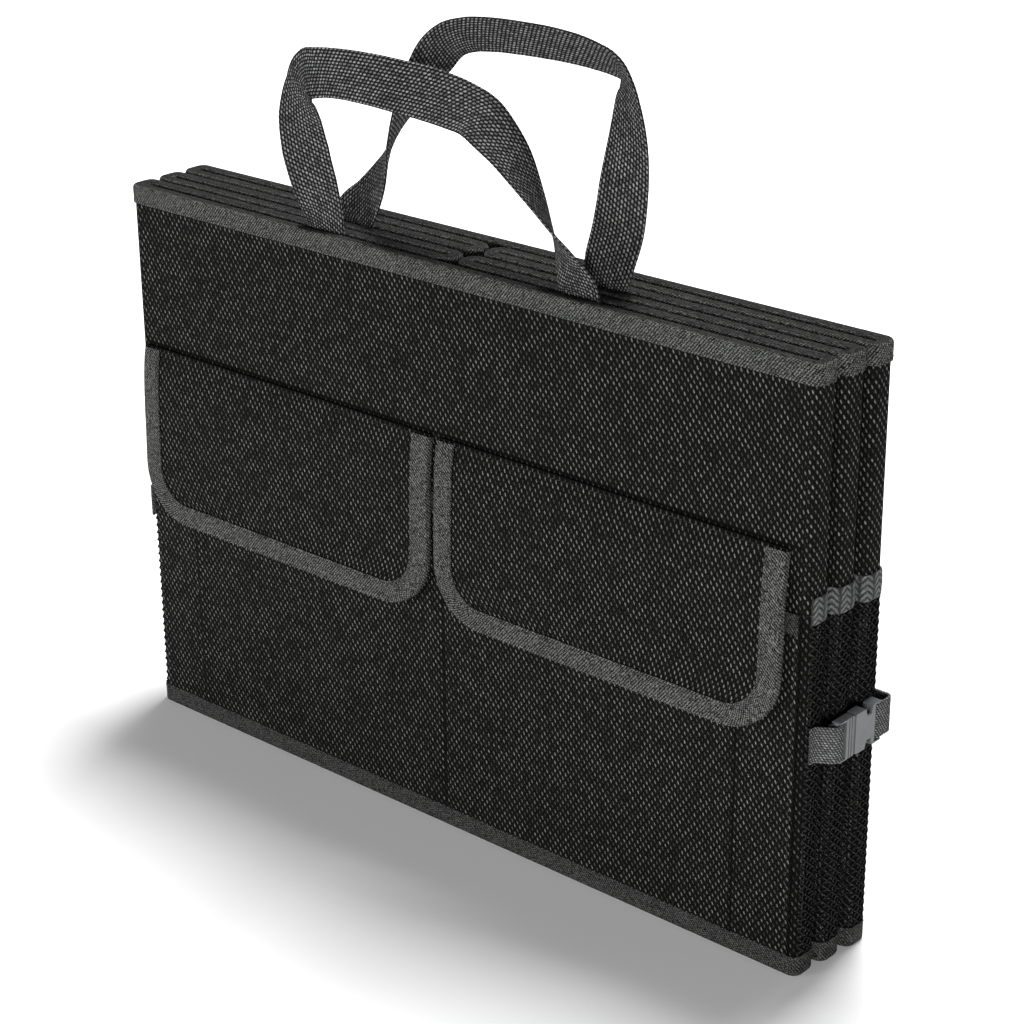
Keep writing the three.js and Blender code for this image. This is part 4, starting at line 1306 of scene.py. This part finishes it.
@dataclass
class Buckle(Sided):
    """A closing strap with its side-release buckle."""

    thickness: float = 5.6
    mouth_y: float = 24.5
    female_length: float = 21.0
    male_frame: float = 12.0
    bar: float = 2.3
    bar_depth: float = 2.6
    slack: float = 2.2
    tail: float = 30.0
    softness: float = 0.28

    def inner_x(self) -> float:
        """The buckle's inner face."""
        s = self.sizes
        return s.half_width + s.back_slip(self.side.value) + s.clearance + s.mesh + s.clearance

    def moulding(self, half: str, body: str) -> bpy.types.Object:
        """A buckle half: the CAD shape with softened edges."""
        name = f"{self.side.word}_buckle_{half}"
        made = new_object(name + "_moulding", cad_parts[name].data.copy())
        solid = bmesh.new()
        solid.from_mesh(made.data)
        bmesh.ops.remove_doubles(solid, verts=solid.verts, dist=1e-6)
        bmesh.ops.dissolve_limit(
            solid, angle_limit=math.radians(1), verts=solid.verts, edges=solid.edges, use_dissolve_boundaries=False,
        )
        bmesh.ops.recalc_face_normals(solid, faces=solid.faces)
        solid.to_mesh(made.data)
        solid.free()
        PLASTIC.dress(made)
        bevel = made.modifiers.new("soft_edges", "BEVEL")
        bevel.width = self.softness * MM
        bevel.segments = 2
        bevel.limit_method = "ANGLE"
        bevel.angle_limit = math.radians(35)
        bevel.harden_normals = True
        made.data.shade_smooth()
        made.data.set_sharp_from_angle(angle=math.radians(30))
        return settle(made, body, PLASTIC, name)

    def webbing(self, name: str, track: Track) -> bpy.types.Object:
        """A length of strap webbing along a plan view track."""
        s = self.sizes
        if self.side is Side.LEFT:
            track = [(-x, y, r) for x, y, r in track]
        half, low = s.strap / 2, s.strap_z - s.strap_width / 2
        high = low + s.strap_width
        section = [
            (-half, low + 0.4), (0.0, low), (half, low + 0.4), (half, (low + high) / 2), (half, high - 0.4),
            (0.0, high), (-half, high - 0.4), (-half, (low + high) / 2),
        ]
        return sweep(track, section, False, 6).piece(name, STRAP)

    def front(self) -> bpy.types.Object:
        """The front webbing, from the seam to the bar of the inner half."""
        s = self.sizes
        inner = self.inner_x()
        centre = inner + self.thickness / 2
        wrap = self.bar_depth / 2 + s.clearance + s.strap / 2
        wall = s.half_width + s.clearance + s.mesh + s.clearance + s.strap / 2
        bar_y = self.mouth_y - s.clearance - self.male_frame
        turn = bar_y + self.bar + s.clearance + s.strap / 2
        track: Track = [
            (wall, s.layer * 0.3, 0.0), (wall, bar_y - 7.5, 3.0), (centre + wrap, bar_y - 2.2, 3.0),
            (centre + wrap, turn, wrap / 2), (centre - wrap, turn, wrap / 2), (centre - wrap, bar_y - 1.6, 0.0),
        ]
        name = self.named("strap_front")
        made = self.webbing(name + "_webbing", track)
        self.named("buckle_male_body")
        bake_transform(made)
        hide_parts(name)
        LOG.info("%s: %d faces, bends between two bodies", made.name, len(made.data.polygons))
        return made

    def rear(self) -> bpy.types.Object:
        """The rear webbing, from the bar of the outer half round the corner to the back panel."""
        s = self.sizes
        centre = self.inner_x() + self.thickness / 2
        wrap = self.bar_depth / 2 + s.clearance + s.strap / 2
        bar_y = self.mouth_y + self.female_length
        turn = bar_y - self.bar - s.clearance - s.strap / 2
        back = s.layer_y[5] + s.layer / 2 + s.clearance + s.strap / 2
        seam = s.seam_x + s.back_slip(self.side.value)
        track: Track = [
            (centre - wrap, bar_y + 1.2, 0.0), (centre - wrap, turn, wrap / 2), (centre + wrap, turn, wrap / 2),
            (centre + wrap, back + self.slack, 3.0), (seam - 2, back + self.slack, 3.0), (seam - 9, back, 3.0),
            (seam - self.tail, back, 0.0),
        ]
        name = self.named("strap_rear")
        return settle(self.webbing(name + "_webbing", track), BASE, STRAP, name)

    def stitches(self) -> None:
        """The sewn box that fixes the rear webbing to the back panel."""
        s = self.sizes
        y = s.layer_y[5] + s.layer / 2 + s.clearance + s.strap + 0.02
        seam = s.seam_x + s.back_slip(self.side.value)
        x0, x1 = seam - self.tail + 2, seam - self.tail + 16
        z0, z1 = s.strap_z - s.strap_width / 2 + 2, s.strap_z + s.strap_width / 2 - 2
        sign = self.side.value
        box = [(x0, z0), (x1, z0), (x1, z1), (x0, z1), (x0, z0), (x1, z1)]
        other = [(x0, z1), (x1, z0)]
        lines = [[Vector((sign * x, y, z)) for x, z in run] for run in (box, other)]
        name = self.named("strap_stitches")
        settle(STITCHES.run(name, lines, Pitch=2.4, Length=1.0, Radius=0.24), BASE, STRAP)

    def build(self) -> None:
        """Build the strap and its buckle."""
        self.moulding("female", BASE)
        self.moulding("male", self.named("buckle_male_body"))
        self.front()
        self.rear()
        self.stitches()


def smooth_path(points: Sequence[Vector], share: float) -> Vector:
    """A point on the centripetal spline through the points, as the source draws it."""
    last = len(points) - 1
    place = last * share
    i = min(int(place), last - 1)
    t = place - i
    p1, p2 = points[i], points[i + 1]
    p0 = points[i - 1] if i > 0 else p1 * 2 - p2
    p3 = points[i + 2] if i + 2 <= last else p2 * 2 - p1
    d0, d1, d2 = (max((b - a).length ** 0.5, 1e-4) for a, b in ((p0, p1), (p1, p2), (p2, p3)))
    t1 = ((p1 - p0) / d0 - (p2 - p0) / (d0 + d1) + (p2 - p1) / d1) * d1
    t2 = ((p2 - p1) / d1 - (p3 - p1) / (d1 + d2) + (p3 - p2) / d2) * d1
    return p1 + t1 * t + (p2 * 3 - p1 * 3 - t1 * 2 - t2) * t ** 2 + (p1 * 2 - p2 * 2 + t1 + t2) * t ** 3


@dataclass
class Handle:
    """A carrying handle of flat webbing, with one leg turned half round."""

    name: str
    slit_y: float
    sewn_y: float
    turn: int
    stops: tuple[tuple[float, float, float, float], ...]
    sizes: Sizes = SIZES
    reach: float = 82.0
    tuck: float = 40.0
    parts: int = 6
    nudge: float = 1e-3

    def course(self) -> tuple[list[Vector], list[float]]:
        """The middle points and the twists in degrees, root to root.

        A twist of 90 degrees lays the webbing flat along the wall, and 0 turns its edge to the front.
        """
        s = self.sizes
        rim, shoulder = s.panel_height, s.panel_height - s.top_binding
        middles = [Vector((q[0], q[1], rim + q[2])) for q in self.stops]
        inward = (self.sewn_y - self.slit_y) * self.turn
        heights = ((0.0, rim + 1), (0.0, shoulder), (inward, shoulder - 12), (inward, shoulder - self.tuck))
        left, right = ([Vector((x, y, z)) for y, z in heights] for x in (-self.reach, self.reach))
        middles = left[::-1] + middles + right
        twists = [90.0] * 4 + [q[3] for q in self.stops] + [-90.0] * 4
        return [Vector((p.x * self.turn, self.slit_y + p.y * self.turn, p.z)) for p in middles], twists

    def rings(self, half_width: float, half_thick: float) -> list[list[Vector]]:
        """Rings of the webbing's section, rounded at its two edges."""
        middles, twists = self.course()
        steps = self.parts * (len(middles) - 1)
        under = [(-1, -0.5), (-0.97, -1), (0, -1), (0.97, -1), (1, -0.5)]
        corners = under + [(-a, -b) for a, b in under]
        out = []
        for i in range(steps + 1):
            share = i / steps
            here = smooth_path(middles, share)
            along = smooth_path(middles, min(share + self.nudge, 1.0))
            along -= smooth_path(middles, max(share - self.nudge, 0.0))
            along.normalize()
            index = share * (len(twists) - 1)
            low = min(int(index), len(twists) - 2)
            twist = math.radians(twists[low] + (twists[low + 1] - twists[low]) * (index - low))
            deep = Vector((0.0, float(self.turn), 0.0))
            deep = (deep - along * along.dot(deep)).normalized()
            across = deep * math.cos(twist) + along.cross(deep) * math.sin(twist)
            through = along.cross(across).normalized()
            out.append([here + across * (a * half_width) + through * (b * half_thick) for a, b in corners])
        return out

    def build(self) -> None:
        """Build the handle."""
        s = self.sizes
        rings = self.rings(s.handle_width / 2, s.handle / 2)
        patches = tube(rings, False)
        middle = lengths([ring[2] for ring in rings])
        scale = middle[-1] / max(u for loop in patches.uvs for u, _v in loop)
        patches.uvs = [[(u * scale, v) for u, v in loop] for loop in patches.uvs]
        made = patches.piece(self.name + "_webbing", HANDLE)
        settle(made, BASE, HANDLE, self.name)


@dataclass
class Inside:
    """The boards, the floor cloths and the divider that lie in the folded packets."""

    lined: tuple[str, ...] = ("divider_panel", "base_cloth_front", "base_cloth_rear")

    def build(self) -> None:
        """Dress the hidden pieces."""
        for name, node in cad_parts.items():
            if name.endswith("_board") or "_board_" in name:
                BOARD.dress(node)
            elif name in self.lined:
                LINING.dress(node)


# Studio

@dataclass
class Studio:
    """The floor, the lamps and the camera at the photograph's angle."""

    azimuth: float = 41.63
    elevation: float = 22.92
    roll: float = -0.47
    distance: float = 1231.9
    target: tuple[float, float, float] = (46.23, 0.0, 189.40)
    lens: float = 89.72
    floor_reach: float = 6.0
    near_glow: Colour = (0.07, 0.07, 0.07)
    surround_fill: float = 0.14

    def floor(self) -> None:
        """A pale floor that glows for the camera: faintly near the organizer, white farther off."""
        mesh = bpy.data.meshes.new("floor")
        r = self.floor_reach
        mesh.from_pydata([(-r, -r, 0), (r, -r, 0), (r, r, 0), (-r, r, 0)], [], [(0, 1, 2, 3)])
        made = new_object("floor", mesh)
        graph = Graph("floor_paper")
        path = graph.node("ShaderNodeLightPath")
        seen = Number(graph, path.outputs["Is Camera Ray"])
        place = graph.node("ShaderNodeTexCoord")
        reach = graph.node("ShaderNodeVectorMath", {"operation": "LENGTH"}, {0: place.outputs["Object"]})
        far = ((Number(graph, reach.outputs["Value"]) - 0.5) * 0.8).within()
        white = (1.0, 1.0, 1.0)
        graph.dress(
            Base_Color=(*white, 1.0), Roughness=0.9, Specular_IOR_Level=0.0,
            Emission_Color=graph.blend(far, self.near_glow, white), Emission_Strength=seen,
        )
        made.data.materials.append(graph.material)

    def world(self) -> None:
        """A white surround that gives a soft fill."""
        world = bpy.data.worlds.new("surround")
        bpy.context.scene.world = world
        world.use_nodes = True
        nodes = Nodes(world.node_tree)
        path = nodes.node("ShaderNodeLightPath")
        seen = nodes.node("ShaderNodeMath", {"operation": "ADD", "use_clamp": True}, {
            0: path.outputs["Is Camera Ray"], 1: path.outputs["Is Transmission Ray"],
        })
        strength = nodes.node("ShaderNodeMapRange", sockets={
            "Value": seen.outputs[0], "To Min": self.surround_fill, "To Max": 1.0,
        })
        back = nodes.node("ShaderNodeBackground", sockets={"Strength": strength.outputs[0]})
        nodes.node("ShaderNodeOutputWorld", sockets={"Surface": back.outputs[0]})

    def lamp(self, name: str, place: tuple[float, float, float], size: float, power: float) -> None:
        """A soft square lamp that looks at the organizer."""
        data = bpy.data.lights.new(name, "AREA")
        data.size = size
        data.energy = power
        made = new_object(name, data)
        made.location = place
        made.rotation_euler = (Vector((0.0, 0.0, 0.2)) - Vector(place)).to_track_quat("-Z", "Y").to_euler()

    def camera(self) -> None:
        """The camera, placed as the photograph's was."""
        a, e = math.radians(self.azimuth), math.radians(self.elevation)
        back = Vector((math.sin(a) * math.cos(e), -math.cos(a) * math.cos(e), math.sin(e)))
        right = Vector((0.0, 0.0, 1.0)).cross(back).normalized()
        up = back.cross(right)
        r = math.radians(self.roll)
        x_axis = right * math.cos(r) + up * math.sin(r)
        y_axis = up * math.cos(r) - right * math.sin(r)
        place = in_frame(Vector(self.target) + back * self.distance)
        data = bpy.data.cameras.new("camera")
        data.lens = self.lens
        data.sensor_width = 36.0
        data.clip_start = 0.05
        made = new_object("camera", data)
        rotation = Matrix((x_axis, y_axis, back)).transposed()
        made.matrix_world = Matrix.Translation(place) @ rotation.to_4x4()
        bpy.context.scene.camera = made

    def build(self) -> None:
        """Set up the studio."""
        self.floor()
        self.world()
        self.lamp("key", (2.2, -2.6, 0.5), 0.9, 78.0)
        self.lamp("fill", (-1.6, -2.6, 0.5), 0.9, 38.0)
        self.lamp("top", (-0.12, 0.7, 2.35), 0.8, 75.0)
        self.camera()
        bpy.context.scene.view_settings.view_transform = "Standard"


# Each stop of a handle: along the wall, off its slit, above the rim, and the webbing's twist
FRONT_STOPS = (
    (-84, 0, 10, 96), (-88, -1, 22, 110), (-92, -2.5, 39, 114), (-94, -3.5, 55, 102), (-92, -5, 70, 76),
    (-86.5, -6.5, 78, 76), (-76, -7.5, 81, 96), (-62, -7.8, 82.5, 94), (-42, -7.8, 83, 86), (-21, -7.8, 82.5, 76),
    (0, -7.8, 81.5, 63), (15, -7.5, 79.5, 50), (27, -6.5, 76, 35), (37, -5.3, 68, 20), (46, -4.3, 59, 4),
    (54, -3.3, 48, -13), (62, -2.2, 36, -30), (69, -0.8, 24, -46), (76, -0.2, 12, -68),
)
REAR_STOPS = (
    (-85, 0, 12, 106), (-89.5, -0.5, 28, 112), (-92, -1.5, 50, 101), (-93, -2.5, 68, 85), (-92, -3.5, 84, 68),
    (-90, -4.5, 95, 54), (-85.5, -5.5, 101.5, 47), (-77, -6, 104, 48), (-66, -6.5, 105.5, 50), (-50, -6.5, 106.5, 51),
    (-34, -6.5, 106.5, 51), (-17, -6.5, 106, 51), (0, -6.5, 104.5, 49), (13, -6, 101.5, 43), (23, -5.5, 95.5, 31),
    (31, -4.5, 85, 21), (39, -3.5, 73, 4), (46, -2.5, 61, -12), (53, -1.5, 47, -29), (61, -0.5, 28, -52),
    (72, 0, 12, -72),
)


def handles(sizes: Sizes = SIZES) -> list[Handle]:
    """The front handle, sewn to the front panel, and the rear one, sewn to the divider."""
    half = sizes.handle / 2
    y = sizes.layer_y
    front_slit = y[0] + sizes.skirt_outer + sizes.clearance + half + 0.2
    front_sewn = y[0] + sizes.skirt + half
    rear_slit = y[2] + sizes.skirt_outer + sizes.clearance + half + 0.4
    rear_sewn = (y[2] + y[3]) / 2 - 0.6 - half
    return [
        Handle("front_handle", front_slit, front_sewn, 1, FRONT_STOPS),
        Handle("rear_handle", rear_slit, rear_sewn, -1, REAR_STOPS),
    ]


def main() -> None:
    """Build every sub-assembly in order."""
    logging.basicConfig(level=logging.INFO, format="%(name)s: %(message)s")
    Studio().build()
    Walls().build()
    Bindings().build()
    FrontPocket().build()
    Inside().build()
    for side in Side:
        Flap(side).build()
        MeshPocket(side).build()
        Buckle(side).build()
    for handle in handles():
        handle.build()
    LOG.info("boxes written")


if __name__ == "__main__":
    main()
